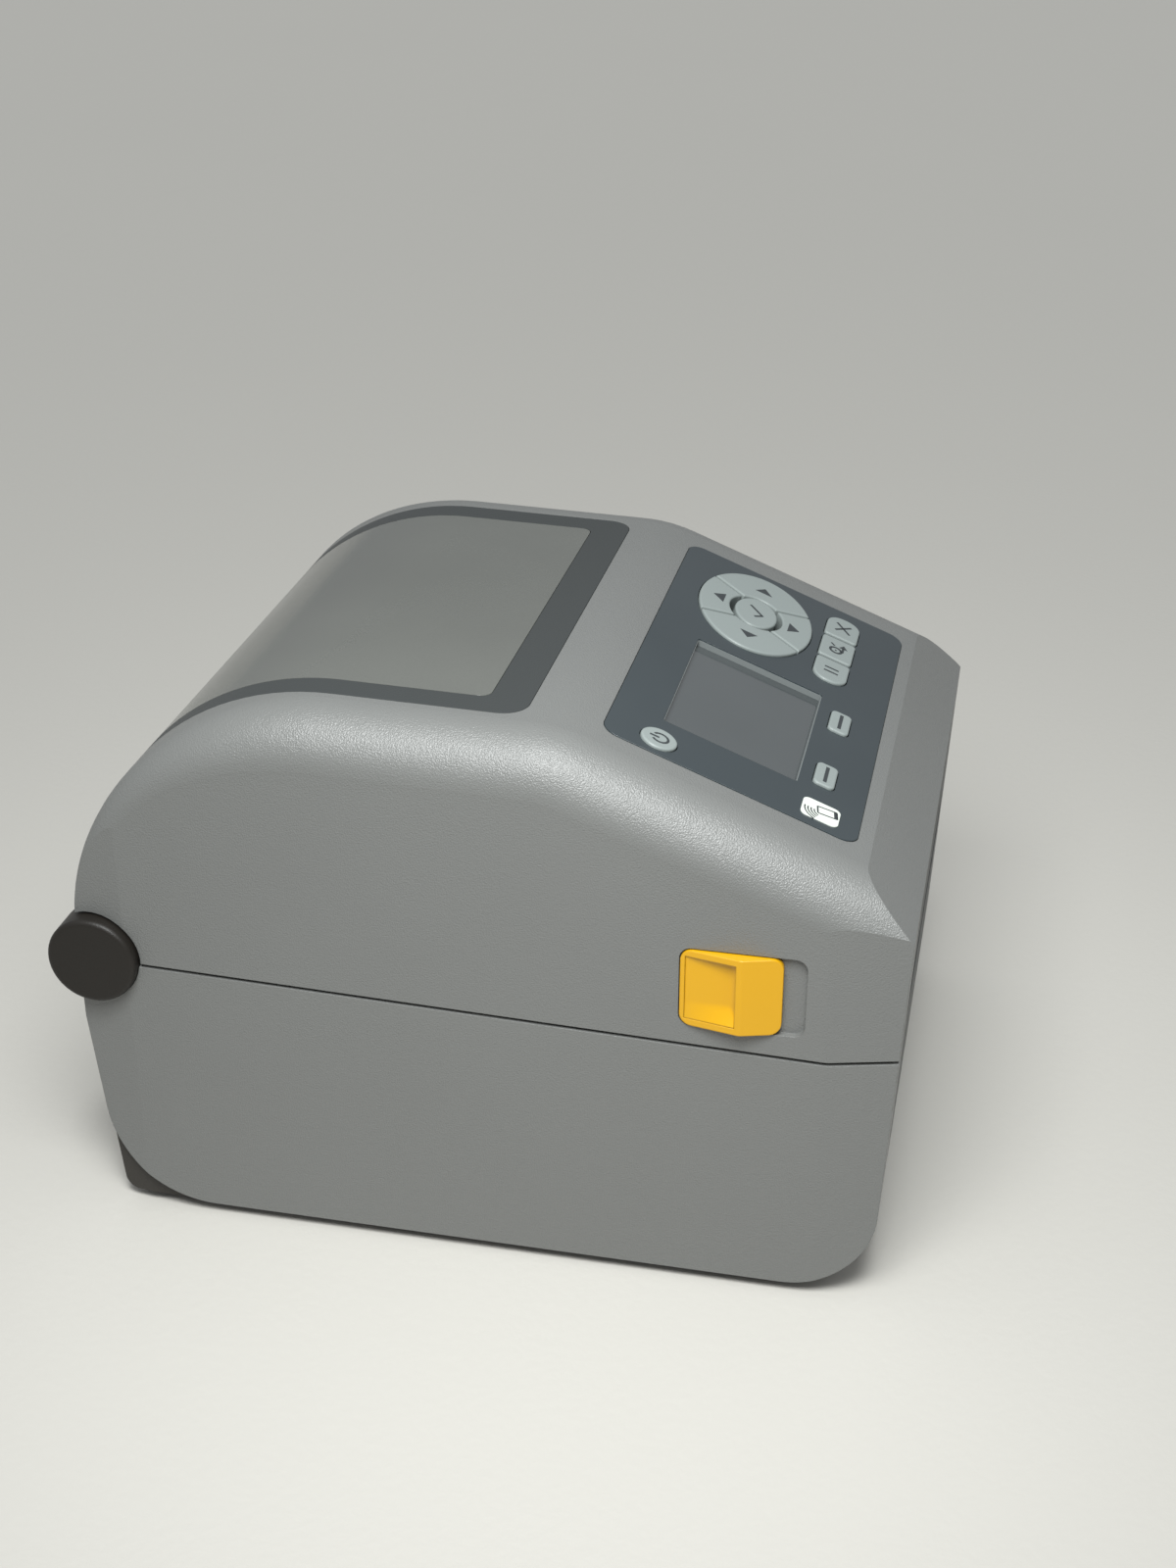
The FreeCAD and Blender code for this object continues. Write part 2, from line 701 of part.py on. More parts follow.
# Base: side panels and chassis
fixed_caps = []
for side, word in ((-1, "left"), (1, "right")):
    zone = mirrored_box("panel_zone_" + word, side, "bezel_half", "reach", "-reach", "reach", "0", "reach")
    cap_hole = mirrored_rod("cap_hole_" + word, side, "cap_inner - 1", "reach", "hinge_y", "hinge_z",
                            "cap_radius + seam")
    fixed_caps.append(cap_hole)
    blank = overlap(word + "_side_blank", outer, below, zone)
    node(without(word + "_side_panel", blank, plinth_room, cap_hole), word + "_side_panel")

tub = without("tub", plinth, hollow)
tub_low = overlap("tub_low", tub, below)
hollows = list(fixed_caps)
hollows.append(exit_lower)
rear_lip = box("rear_lip", "-(cap_inner - cap_clearance)", "cap_inner - cap_clearance", "bay_rear_y - 3", "reach",
               "hinge_z - rear_lip_drop", "reach")
tub_cut = without("tub_cut", tub_low, rear_lip)
hollows.append(box("fanfold_slot", "-fanfold_half", "fanfold_half", "bay_rear_y - 2", "reach",
                   "fanfold_low_z", "fanfold_high_z"))
sockets = ("dc_power_jack", "usb_device_port", "usb_host_port", "ethernet_port", "serial_port")
for word in sockets:
    hollows.append(box(word + "_hole", word + "_left - socket_gap", word + "_right + socket_gap",
                       "pcb_rear_y - 1", "reach", "pcb_high_z - socket_gap", word + "_top + socket_gap"))
supports = [rod("barrel", "X", "-barrel_half", "hinge_y", "hinge_z", "barrel_radius", "2 * barrel_half"),
            box("barrel_web", "-barrel_half", "barrel_half", "hinge_y", "hinge_y + 4.2",
                "hinge_z - rear_lip_drop - 3", "hinge_z - 2"),
            rod("pinion_post", "Z", "0", "roll_y", "floor_z - 0.1", "stud_radius", "rack_high_z + 0.2 - floor_z")]
feet = []
screws = []
for side, word in ((-1, "left"), (1, "right")):
    hollows.append(mirrored_rod("pin_hole_" + word, side, "barrel_half - 6", "reach", "hinge_y", "hinge_z", "pin_radius"))
    for place in ("front", "rear"):
        tag = place + "_" + word
        foot_x = "%d * foot_x" % side
        foot_y = "foot_%s_y" % place
        screw_x = "%d * screw_x" % side
        screw_y = "screw_%s_y" % place
        pcb_y = "pcb_%s_y %s 6" % (place, "+" if place == "front" else "-")
        hollows.append(rod("foot_hole_" + tag, "Z", foot_x, foot_y, "0", "foot_plug", "foot_height - plinth_drop + 1"))
        supports.append(rod("pcb_post_" + tag, "Z", "%d * (pcb_half - 7)" % side, pcb_y, "floor_z - 0.1", "3",
                            "pcb_low_z - floor_z + 0.1"))
        supports.append(rod("screw_post_" + tag, "Z", screw_x, screw_y, "floor_z - 0.1", "4", "7"))
        hollows.append(rod("screw_sink_" + tag, "Z", screw_x, screw_y, "0", "3.3", "foot_height - plinth_drop + 1.4"))
        hollows.append(rod("screw_bore_" + tag, "Z", screw_x, screw_y, "0", "1.5", "floor_z + 5"))
        pad_low = rod("foot_pad_" + tag, "Z", foot_x, foot_y, "0", "foot_radius", "foot_height - plinth_drop")
        pad_up = rod("foot_stub_" + tag, "Z", foot_x, foot_y, "1", "foot_plug", "foot_height - plinth_drop")
        feet.append(joined("foot_" + tag, pad_low, pad_up))
        head = rod("screw_head_" + tag, "Z", screw_x, screw_y, "foot_height - plinth_drop - 0.1", "2.8", "1.5")
        shank = rod("screw_shank_" + tag, "Z", screw_x, screw_y, "foot_height - plinth_drop", "1.5", "7")
        recess = box("screw_slot_" + tag, screw_x + " - 1.8", screw_x + " + 1.8", screw_y + " - 0.4",
                     screw_y + " + 0.4", "0", "foot_height - plinth_drop + 0.6")
        screws.append(without("screw_" + tag, joined("screw_whole_" + tag, head, shank), recess))
chassis_blank = joined("chassis_blank", tub_cut, *supports)
node(without("base_chassis", chassis_blank, *hollows), "base_chassis")
softened_feet = joined("rubber_feet", *feet)
node(softened_feet, "rubber_feet")
node(joined("housing_screws", *screws), "housing_screws")

# Hinge caps and pins
caps = []
pins = []
for side, word in ((-1, "left"), (1, "right")):
    cap = mirrored_rod("cap_blank_" + word, side, "cap_inner", "cap_face", "hinge_y", "hinge_z", "cap_radius")
    doc.recompute()
    face = side * number("cap_face")

    def outer_rim(edge, face=face):
        return edge.BoundBox.XLength < 0.001 and abs(edge.CenterOfMass.x - face) < 0.001
    dome = softened("cap_dome_" + word, cap, "cap_rim", outer_rim)
    bore = mirrored_rod("cap_bore_" + word, side, "cap_inner", "cap_inner + 3", "hinge_y", "hinge_z", "pin_radius")
    caps.append(without("cap_" + word, dome, bore))
    pins.append(mirrored_rod("pin_" + word, side, "barrel_half - 6", "cap_inner + 3", "hinge_y", "hinge_z",
                             "pin_radius"))
node(joined("hinge_caps", *caps), "hinge_caps")
node(joined("hinge_pins", *pins), "hinge_pins")

# Release latches: finger piece through the cover wall, flange behind it, hook reaching into the base
catches = []
for side, word in ((-1, "left"), (1, "right")):
    seat = "half_width - latch_recess + latch_seat_gap"
    wedge = [(seat, "latch_rear_y"), ("latch_edge", "latch_rear_y"),
             ("latch_ridge", "latch_ridge_y + 0.3"), ("latch_ridge", "latch_ridge_y - 0.3"),
             ("latch_edge", "latch_front_y"), (seat, "latch_front_y")]
    corners = [("%d * (%s)" % (side, across), along) for across, along in wedge]
    body = prism("latch_wedge_" + word, "XY_Plane", corners, "latch_low_z", "latch_high_z")
    slab = mirrored_box("latch_slab_block_" + word, side, "latch_root - 2", "reach", "latch_front_y", "latch_rear_y",
                        "latch_low_z", "latch_high_z")
    shaped = overlap("latch_shaped_" + word, body, softened("latch_slab_" + word, slab, "latch_corner", runs("x")))
    hollow_side = [("scoop_rear_out", "scoop_rear_y"), ("scoop_front_out", "scoop_front_y"),
                   ("reach", "scoop_front_y"), ("reach", "scoop_rear_y")]
    scoop = prism("scoop_" + word, "XY_Plane", [("%d * (%s)" % (side, out), along) for out, along in hollow_side],
                  "latch_low_z + scoop_wall", "latch_high_z - scoop_wall")
    finger = without("latch_finger_" + word, shaped, scoop)
    stem = mirrored_box("latch_stem_" + word, side, "latch_flange_in", "half_width - 1", "stem_front_y",
                        "stem_rear_y", "latch_low_z + stem_inset_z", "latch_high_z - stem_inset_z")
    flange = mirrored_box("latch_flange_" + word, side, "latch_flange_in", "latch_root",
                          "latch_front_y - latch_travel - 1", "latch_rear_y + latch_travel + 1",
                          "latch_low_z - latch_flange_lap", "latch_high_z + latch_flange_lap")
    arm = mirrored_box("latch_arm_" + word, side, "hook_in", "latch_flange_in", "hook_front_y", "hook_rear_y",
                       "hook_foot_z", "latch_high_z")
    hook = mirrored_box("latch_hook_" + word, side, "hook_in", "latch_flange_in", "hook_rear_y", "hook_tip_y",
                        "hook_foot_z", "hook_foot_z + hook_height")
    node(joined("latch_" + word, finger, stem, flange, arm, hook), "latch_" + word)
    catches.append(mirrored_box("catch_" + word, side, "hook_in", "half_width - skin - wall",
                                "hook_tip_y + catch_gap", "catch_rear_y", "catch_low_z", "catch_high_z"))
node(joined("latch_catches", *catches), "latch_catches")

# Cover frame with hinge ears, beam and lugs
rail = [("beam_front_y", "head_pin_z"), ("beam_front_y", "beam_high_z"), ("-50", "beam_high_z + 6"),
        ("bay_top_z - 10", "beam_high_z + 6"), ("bay_rear_y", "beam_low_z"),
        ("hinge_y + ear_radius * 0.7", "hinge_z + ear_radius * 0.7"),
        ("hinge_y - ear_radius * 0.7", "hinge_z - ear_radius * 0.7"),
        ("bay_top_z - 10", "head_pin_z"), ("-50", "head_pin_z")]
frame_parts = [box("beam", "-rail_out", "rail_out", "beam_front_y", "beam_rear_y", "beam_low_z", "beam_high_z")]
frame_cuts = []
for side, word in ((-1, "left"), (1, "right")):
    start = "rail_in" if side > 0 else "-rail_out"
    stop = "rail_out" if side > 0 else "-rail_in"
    frame_parts.append(prism("rail_" + word, "YZ_Plane", rail, start, stop))
    frame_parts.append(mirrored_rod("ear_" + word, side, "ear_in", "ear_out", "hinge_y", "hinge_z", "ear_radius"))
    frame_parts.append(mirrored_box("post_front_" + word, side, "rail_in - 4", "rail_out", "beam_front_y + 2",
                                    "beam_front_y + 9", "beam_high_z - 2", "reach"))
    frame_parts.append(mirrored_box("post_middle_" + word, side, "rail_in", "rail_out", "-30", "-20", "beam_high_z", "reach"))
    frame_parts.append(mirrored_box("post_rear_" + word, side, "rail_in", "rail_out", "20", "32", "beam_high_z", "reach"))
    frame_parts.append(mirrored_box("lug_" + word, side, "head_lug_in", "head_lug_out", "head_pin_y - 4",
                                    "head_pin_y + 4", "head_pin_z - 4", "beam_low_z + 1"))
    frame_parts.append(mirrored_box("lug_root_" + word, side, "head_lug_in", "head_lug_out", "beam_front_y",
                                    "head_pin_y + 4", "beam_low_z", "beam_high_z"))
    for place, tab_y in (("front", "screw_front_y + 10"), ("rear", "screw_rear_y + 3")):
        frame_parts.append(mirrored_box("tab_%s_%s" % (place, word), side, "rail_out - 1", "half_width - wall",
                                        tab_y + " - 5", tab_y + " + 5", "beam_low_z + 3", "beam_low_z + 8"))
        frame_cuts.append(rod("tab_bore_%s_%s" % (place, word), "Z", "%d * (rail_out + 3.6)" % side, tab_y,
                              "beam_low_z", "1.4", "12"))
    frame_cuts.append(mirrored_rod("ear_bore_" + word, side, "ear_in - 1", "ear_out + 1", "hinge_y", "hinge_z",
                                   "pin_radius + running_gap"))
    frame_cuts.append(mirrored_rod("lug_bore_" + word, side, "head_lug_in - 1", "head_lug_out + 1", "head_pin_y",
                                   "head_pin_z", "head_pin_radius"))
frame_in = overlap("cover_frame_in", joined("cover_frame_whole", *frame_parts), inner_room)
node(without("cover_inner_frame", frame_in, *frame_cuts), "cover_inner_frame")

cover_screws = []
for side, word in ((-1, "left"), (1, "right")):
    for place, tab_y in (("front", "screw_front_y + 10"), ("rear", "screw_rear_y + 3")):
        tag = "%s_%s" % (place, word)
        screw_x = "%d * (rail_out + 3.6)" % side
        head = rod("cover_screw_head_" + tag, "Z", screw_x, tab_y, "beam_low_z + 1", "2.4", "2")
        shank = rod("cover_screw_shank_" + tag, "Z", screw_x, tab_y, "beam_low_z + 2", "1.4", "12")
        cover_screws.append(joined("cover_screw_" + tag, head, shank))
node(joined("cover_screws", *cover_screws), "cover_screws")

# Print head hung from the beam
head_low = "platen_z + platen_radius + head_gap"
head_top = head_low + " + head_plate + head_sink"
node(box("printhead", "-head_half", "head_half", "head_front_y", "head_rear_y", head_low, head_low + " + head_plate"),
     "printhead")
sink_parts = [box("sink_slab", "-(head_half + 1)", "head_half + 1", "head_front_y + 1", "head_rear_y",
                  head_low + " + head_plate", head_top + " - 2.4")]
for index in range(6):
    fin_y = "head_front_y + 1 + %d * (head_rear_y - head_front_y - 2.2) / 5" % index
    sink_parts.append(box("sink_fin_%d" % index, "-(head_half + 1)", "head_half + 1", fin_y, fin_y + " + 1.2",
                          head_low + " + head_plate + 1", head_top))
node(joined("printhead_heatsink", *sink_parts), "printhead_heatsink")
arms = [box("head_plate_top", "-head_bracket_half", "head_bracket_half", "head_front_y + 1", "head_pin_y + 2",
            head_top, head_top + " + head_bracket")]
arm_cuts = []
for side, word in ((-1, "left"), (1, "right")):
    arms.append(mirrored_box("head_arm_" + word, side, "head_bracket_half - head_bracket", "head_bracket_half",
                             "head_pin_y - 4", "head_pin_y + 3.5", head_top, "head_pin_z + 3"))
    arm_cuts.append(mirrored_rod("head_bore_" + word, side, "head_bracket_half - 3", "head_bracket_half + 1",
                                 "head_pin_y", "head_pin_z", "head_pin_radius + running_gap"))
node(without("printhead_bracket", joined("head_bracket_whole", *arms), *arm_cuts), "printhead_bracket")
node(rod("printhead_pin", "X", "-head_lug_out", "head_pin_y", "head_pin_z", "head_pin_radius", "2 * head_lug_out"),
     "printhead_pin")
coils = []
spring_low = head_top + " + head_bracket + head_spring_gap"
for index, word in ((-1, "left"), (0, "middle"), (1, "right")):
    coil = doc.addObject("Part::Helix", "spring_path_" + word)
    coil.setExpression("Pitch", bind("head_spring_pitch"))
    coil.setExpression("Height", bind("beam_low_z - (%s) - 2 * head_spring_wire" % spring_low))
    coil.setExpression("Radius", bind("head_spring_radius"))
    placed(coil, "0", "0", "0")
    wire = doc.addObject("Part::Circle", "spring_wire_" + word)
    wire.setExpression("Radius", bind("head_spring_wire"))
    wire.Placement = FreeCAD.Placement(FreeCAD.Vector(), FreeCAD.Rotation(FreeCAD.Vector(1, 0, 0), 90))
    placed(wire, "head_spring_radius", "0", "0")
    swept = doc.addObject("Part::Sweep", "printhead_spring_" + word)
    swept.Sections = [wire]
    swept.Spine = (coil, [])
    swept.Solid = True
    swept.Frenet = True
    placed(swept, "%d * head_spring_x" % index, "head_spring_y", spring_low + " + head_spring_wire")
    coils.append(swept)
springs = doc.addObject("Part::Compound", "printhead_springs")
springs.Links = coils
node(springs, "printhead_springs")

# Control panel fascia and keys, all drawn flat
plate_block = box("fascia_block", "-panel_half", "panel_half", "-panel_length", "0", "-fascia", "panel_proud")
plate_round = softened("fascia_round", plate_block, "panel_corner", runs("z"))
plate = softened("fascia_soft", plate_round, "panel_proud / 2", top_rim(number("panel_proud")))
panel_cuts = [softened("screen_hole", box("screen_hole_block", "screen_left", "screen_right", "screen_bottom",
                                          "screen_top", "-5", "5"), "wall / 3", runs("z"))]


def key_block(name, x, y, across, up, left_radius, right_radius, grow, low, high):
    """Rounded block; the left pair and the right pair of corners have their own radii."""
    block = box(name + "_block", "%s - %s / 2 - (%s)" % (x, across, grow), "%s + %s / 2 + (%s)" % (x, across, grow),
                "%s - %s / 2 - (%s)" % (y, up, grow), "%s + %s / 2 + (%s)" % (y, up, grow), low, high)
    doc.recompute()
    middle = (block.Shape.BoundBox.XMin + block.Shape.BoundBox.XMax) / 2
    left = softened(name + "_left", block, "%s + (%s)" % (left_radius, grow), runs("z", lambda m: m.x < middle))
    return softened(name, left, "%s + (%s)" % (right_radius, grow), runs("z", lambda m: m.x > middle))


def finish_key(name, cap, flange, stem):
    rounded = softened(name + "_cap", cap, "key_edge", top_rim(number("key_proud")))
    return node(on_panel(joined(name, rounded, flange, stem)), name)


flange_top = "-fascia - 0.1"
flange_low = "-fascia - 1.1"
stem_low = "-board_depth + membrane + key_travel + 0.1"
row = (("pause_button", "row_x - row_pitch", "row_end_radius", "row_inner_radius"),
       ("feed_button", "row_x", "row_inner_radius", "row_inner_radius"),
       ("cancel_button", "row_x + row_pitch", "row_inner_radius", "row_end_radius"))
keys = [(name, x, "row_y", "row_key", "row_up", left, right) for name, x, left, right in row]
for word in ("left", "right"):
    keys.append((word + "_select_button", word + "_select_x", "select_y", "select_across", "select_up",
                 "select_radius", "select_radius"))
for name, x, y, across, up, left, right in keys:
    cap = key_block(name + "_top", x, y, across, up, left, right, "0", flange_top, "key_proud")
    flange = key_block(name + "_flange", x, y, across, up, left, right, "key_flange", flange_low, flange_top)
    stem = box(name + "_stem", x + " - 2", x + " + 2", y + " - 2", y + " + 2", stem_low, flange_low)
    finish_key(name, cap, flange, stem)
    panel_cuts.append(key_block(name + "_hole", x, y, across, up, left, right, "key_gap", "-5", "5"))
finish_key("power_button", rod("power_top", "Z", "power_x", "power_y", flange_top, "power_radius", "key_proud + fascia + 0.1"),
           rod("power_flange", "Z", "power_x", "power_y", flange_low, "power_radius + key_flange", "1"),
           rod("power_stem", "Z", "power_x", "power_y", stem_low, "2", "(%s) - (%s)" % (flange_low, stem_low)))
panel_cuts.append(rod("power_hole", "Z", "power_x", "power_y", "-5", "power_radius + key_gap", "10"))
panel_cuts.append(oval("pad_hole", "pad_x", "pad_y", "pad_across + key_gap", "pad_up + key_gap", "-5", "5"))

far = "2 * pad_across"
lean_far = "(%s) * split_lean" % far
sectors = {
    "up": [("-(split_half - pad_slot)", "0"), ("split_half - pad_slot", "0"),
           ("split_half - pad_slot + " + lean_far, far), ("-(split_half - pad_slot) - " + lean_far, far)],
    "right": [("split_half + pad_slot", "0"), ("split_half + pad_slot + " + lean_far, "-(%s)" % far),
              ("2 * (%s)" % far, "-(%s)" % far), ("2 * (%s)" % far, far),
              ("split_half + pad_slot + " + lean_far, far)],
}
sectors["down"] = sectors["up"]
sectors["left"] = sectors["right"]
for word in ("up", "down", "left", "right"):
    layers = []
    for layer, grow, low, high in (("cap", "0", flange_top, "key_proud"), ("flange", "key_flange", flange_low, flange_top),
                                   ("stem", "-2", stem_low, flange_low)):
        label = "%s_%s" % (word, layer)
        disc = oval(label + "_disc", "0", "0", "pad_across + (%s)" % grow, "pad_up + (%s)" % grow, low, high)
        middle = oval(label + "_middle", "0", "0", "ok_across + ok_ring_across", "ok_up + ok_ring_up", low, high)
        sector = prism(label + "_sector", "XY_Plane", sectors[word], low, high)
        piece = overlap(label, without(label + "_ring_piece", disc, middle), sector)
        layers.append(piece)
    turn = 180 if word in ("down", "left") else 0
    for layer in layers:
        layer.Placement = FreeCAD.Placement(FreeCAD.Vector(), FreeCAD.Rotation(FreeCAD.Vector(0, 0, 1), turn))
        placed(layer, "pad_x", "pad_y", "0")
    finish_key(word + "_button", *layers)
ok_cap = oval("ok_top", "pad_x", "pad_y", "ok_across", "ok_up", stem_low, "key_proud")
ok_soft = softened("ok_soft", ok_cap, "key_edge", top_rim(number("key_proud")))
ok_key = joined("ok_button", ok_soft, rod("ok_stem", "Z", "pad_x", "pad_y", stem_low, "2", "1"))
node(on_panel(ok_key), "ok_button")

posts = []
for side in (-1, 1):
    for corner_y in ("-4", "-panel_length + 4.2"):
        posts.append(rod("panel_post_%d_%s" % (side + 1, corner_y[1]), "Z", "%d * (board_half - 3)" % side, corner_y,
                         "-board_depth", "1.5", "board_depth - fascia + 0.1"))
fascia_whole = joined("fascia_whole", without("fascia_cut", plate, *panel_cuts), *posts)
node(on_panel(fascia_whole), "control_panel")
node(on_panel(box("lcd_display", "screen_left - screen_border", "screen_right + screen_border",
                  "screen_bottom - screen_border", "screen_top + screen_border", "-board_depth", "-fascia - 0.1")),
     "lcd_display")
node(on_panel(box("panel_board", "-board_half", "board_half", "-panel_length + 2.9", "-2.5",
                  "-board_depth - board_thickness", "-board_depth")), "panel_board")
mats = [box("mat_pad", "pad_x - pad_across", "pad_x + pad_across - 4", "row_y - row_up / 2", "pad_y + pad_up",
            "-board_depth", "-board_depth + membrane"),
        box("mat_power", "power_x - 1.6", "power_x + 4", "power_y - 4", "power_y + 4", "-board_depth", "-board_depth + membrane")]
for word in ("left", "right"):
    mats.append(box("mat_select_" + word, word + "_select_x - 4", word + "_select_x + 4", "select_y - 3",
                    "select_y + 3", "-board_depth", "-board_depth + membrane"))
node(on_panel(joined("keypad_membrane", *mats)), "keypad_membrane")
badge = key_block("panel_badge", "badge_x", "badge_y", "badge_across", "badge_up", "badge_radius", "badge_radius", "0",
                  "panel_proud", "panel_proud + badge_thickness")
node(on_panel(badge), "panel_badge")


def toothed(name, teeth, bore, turned, across=None):
    """Spur wheel drawn from the module in the sheet; one tooth points at the turned angle."""
    count = int(number(teeth))
    module = number("tooth_module")
    pitch = count * module / 2
    step = 2 * math.pi / count
    points = []
    for index in range(count):
        middle = math.radians(turned) + index * step
        for radius, lead in ((pitch - 1.2 * module, -0.33), (pitch, -0.22), (pitch + 0.8 * module, -0.1),
                             (pitch + 0.8 * module, 0.1), (pitch, 0.22), (pitch - 1.2 * module, 0.33)):
            angle = middle + lead * step
            points.append(FreeCAD.Vector(radius * math.cos(angle), radius * math.sin(angle), 0))
    points.append(points[0])
    face = Part.Face(Part.makePolygon(points))
    wheel = face.extrude(FreeCAD.Vector(0, 0, across))
    hole = Part.makeCylinder(bore, across)
    return wheel.cut(hole)


def wheel_across(name, shape, start, y, z):
    """Feature whose local Z lies along the case's X."""
    wheel = doc.addObject("Part::Feature", name)
    wheel.Shape = shape
    lying = FreeCAD.Rotation(FreeCAD.Vector(0, 1, 0), FreeCAD.Vector(0, 0, 1), FreeCAD.Vector(1, 0, 0), "XYZ")
    wheel.Placement = FreeCAD.Placement(FreeCAD.Vector(start, y, z), lying)
    return wheel


doc.recompute()
gear_width = number("gear_out") - number("gear_in")
half_turn = 180.0
platen_turn = number("idler_angle")
idler_step = 360.0 / number("idler_teeth")
idler_turn = platen_turn + half_turn + idler_step / 2
pinion_step = 360.0 / number("pinion_teeth")
lead = (number("pinion_angle") - idler_turn) / idler_step
off_tooth = (lead - round(lead)) * idler_step
pinion_turn = number("pinion_angle") + half_turn + pinion_step / 2 + off_tooth * number("idler_teeth") / number("pinion_teeth")

# Platen roller, shaft and gear train on the right plate
node(without("platen_roller", rod("platen_rubber", "X", "-platen_half", "platen_y", "platen_z", "platen_radius",
                                  "2 * platen_half"),
             rod("platen_core", "X", "-platen_half - 1", "platen_y", "platen_z", "shaft_radius", "2 * platen_half + 2")),
     "platen_roller")
node(rod("platen_shaft", "X", "shaft_left", "platen_y", "platen_z", "shaft_radius", "shaft_right - shaft_left"),
     "platen_shaft")
node(wheel_across("platen_gear", toothed("platen", "platen_teeth", number("shaft_radius"), platen_turn, gear_width),
                  number("gear_in"), number("platen_y"), number("platen_z")), "platen_gear")
node(wheel_across("idler_gear", toothed("idler", "idler_teeth", number("stud_radius") + number("running_gap"),
                                        idler_turn, gear_width),
                  number("gear_in"), number("idler_y"), number("idler_z")), "idler_gear")
pinion_wheel = wheel_across("pinion_wheel", toothed("pinion", "pinion_teeth", number("motor_shaft_radius") / 2,
                                                    pinion_turn, gear_width),
                            number("gear_in"), number("motor_y"), number("motor_z"))
node(joined("motor_pinion", pinion_wheel, rod("motor_shaft", "X", "plate_in - 8", "motor_y", "motor_z",
                                              "motor_shaft_radius", "gear_out + 1 - plate_in + 8")), "motor_pinion")

plate_outline = [("motor_y - motor_size / 2", "floor_z"), ("motor_y + motor_size / 2", "floor_z"),
                 ("motor_y + motor_size / 2", "motor_z + motor_size / 2 + 2"), ("platen_y + 12", "bay_top_z + 1"),
                 ("platen_y - 9", "bay_top_z + 1"), ("platen_y - 9", "platen_z - 12")]
plates = []
bushes = []
for side, word in ((-1, "left"), (1, "right")):
    start = "plate_in" if side > 0 else "-plate_out"
    stop = "plate_out" if side > 0 else "-plate_in"
    plate = prism("plate_" + word, "YZ_Plane", plate_outline, start, stop)
    seat = mirrored_rod("bush_seat_" + word, side, "plate_in - 1", "plate_out + 1", "platen_y", "platen_z", "bush_radius")
    plates.append((plate, seat))
    bush = mirrored_rod("bush_" + word, side, "plate_in - 1", "plate_out + 0.8", "platen_y", "platen_z", "bush_radius")
    collar = mirrored_rod("bush_collar_" + word, side, "plate_in - 2", "plate_in", "platen_y", "platen_z",
                          "bush_radius + 1.2")
    bore = mirrored_rod("bush_bore_" + word, side, "plate_in - 3", "plate_out + 2", "platen_y", "platen_z",
                        "shaft_radius + running_gap")
    bushes.append(without("bushing_" + word, joined("bush_body_" + word, bush, collar), bore))
node(joined("platen_bearings", *bushes), "platen_bearings")
node(without("bearing_bracket", plates[0][0], plates[0][1]), "bearing_bracket")
stud = rod("idler_stud", "X", "plate_in", "idler_y", "idler_z", "stud_radius", "gear_out + 1 - plate_in")
boss_hole = rod("motor_boss_hole", "X", "plate_in - 1", "motor_y", "motor_z", "motor_boss", "4")
plate_holes = []
motor_screws = []
for sign in (-1, 1):
    hole_y = "motor_y + %d * motor_screw_reach" % sign
    hole_z = "motor_z + %d * motor_screw_reach" % sign
    plate_holes.append(rod("motor_screw_hole_%d" % (sign + 1), "X", "plate_in - 7", hole_y, hole_z, "1.25", "10"))
    motor_screws.append(rod("motor_screw_shank_%d" % (sign + 1), "X", "plate_in - 6", hole_y, hole_z, "1.25",
                            "plate_out - plate_in + 6"))
    motor_screws.append(rod("motor_screw_head_%d" % (sign + 1), "X", "plate_out", hole_y, hole_z, "2.4", "1.2"))
node(without("drive_bracket", joined("drive_plate", plates[1][0], stud), plates[1][1], boss_hole, *plate_holes),
     "drive_bracket")
node(joined("motor_screws", *motor_screws), "motor_screws")
motor_block = box("motor_block", "plate_in - motor_length", "plate_in", "motor_y - motor_size / 2",
                  "motor_y + motor_size / 2", "motor_z - motor_size / 2", "motor_z + motor_size / 2")
motor_case = softened("motor_case", motor_block, "motor_corner", runs("x"))
motor_nose = rod("motor_nose", "X", "plate_in - 1", "motor_y", "motor_z", "motor_boss", "plate_out - plate_in + 1")
motor_bore = rod("motor_bore", "X", "plate_in - 8.5", "motor_y", "motor_z", "motor_shaft_radius + running_gap", "20")
node(without("stepper_motor", joined("motor_whole", motor_case, motor_nose), motor_bore, *plate_holes), "stepper_motor")

# Tear bar with a saw-tooth front edge
bar = box("tear_strip", "-(exit_half - 0.3)", "exit_half - 0.3", "tear_front_y", "tear_rear_y", "exit_floor_z",
          "exit_floor_z + tear_thickness")
notches = []
notch_count = 38
for index in range(notch_count):
    notch = prism("notch_%d" % index, "XY_Plane", [("-1", "-0.5"), ("1", "-0.5"), ("0", "1.2")], "-1",
                  "tear_thickness + 1")
    placed(notch, "-(exit_half - 0.3) + %d * 2 * (exit_half - 0.3) / %d" % (index + 1, notch_count + 1),
           "tear_front_y", "exit_floor_z - 1")
    notches.append(notch)
node(without("tear_bar", bar, *notches), "tear_bar")

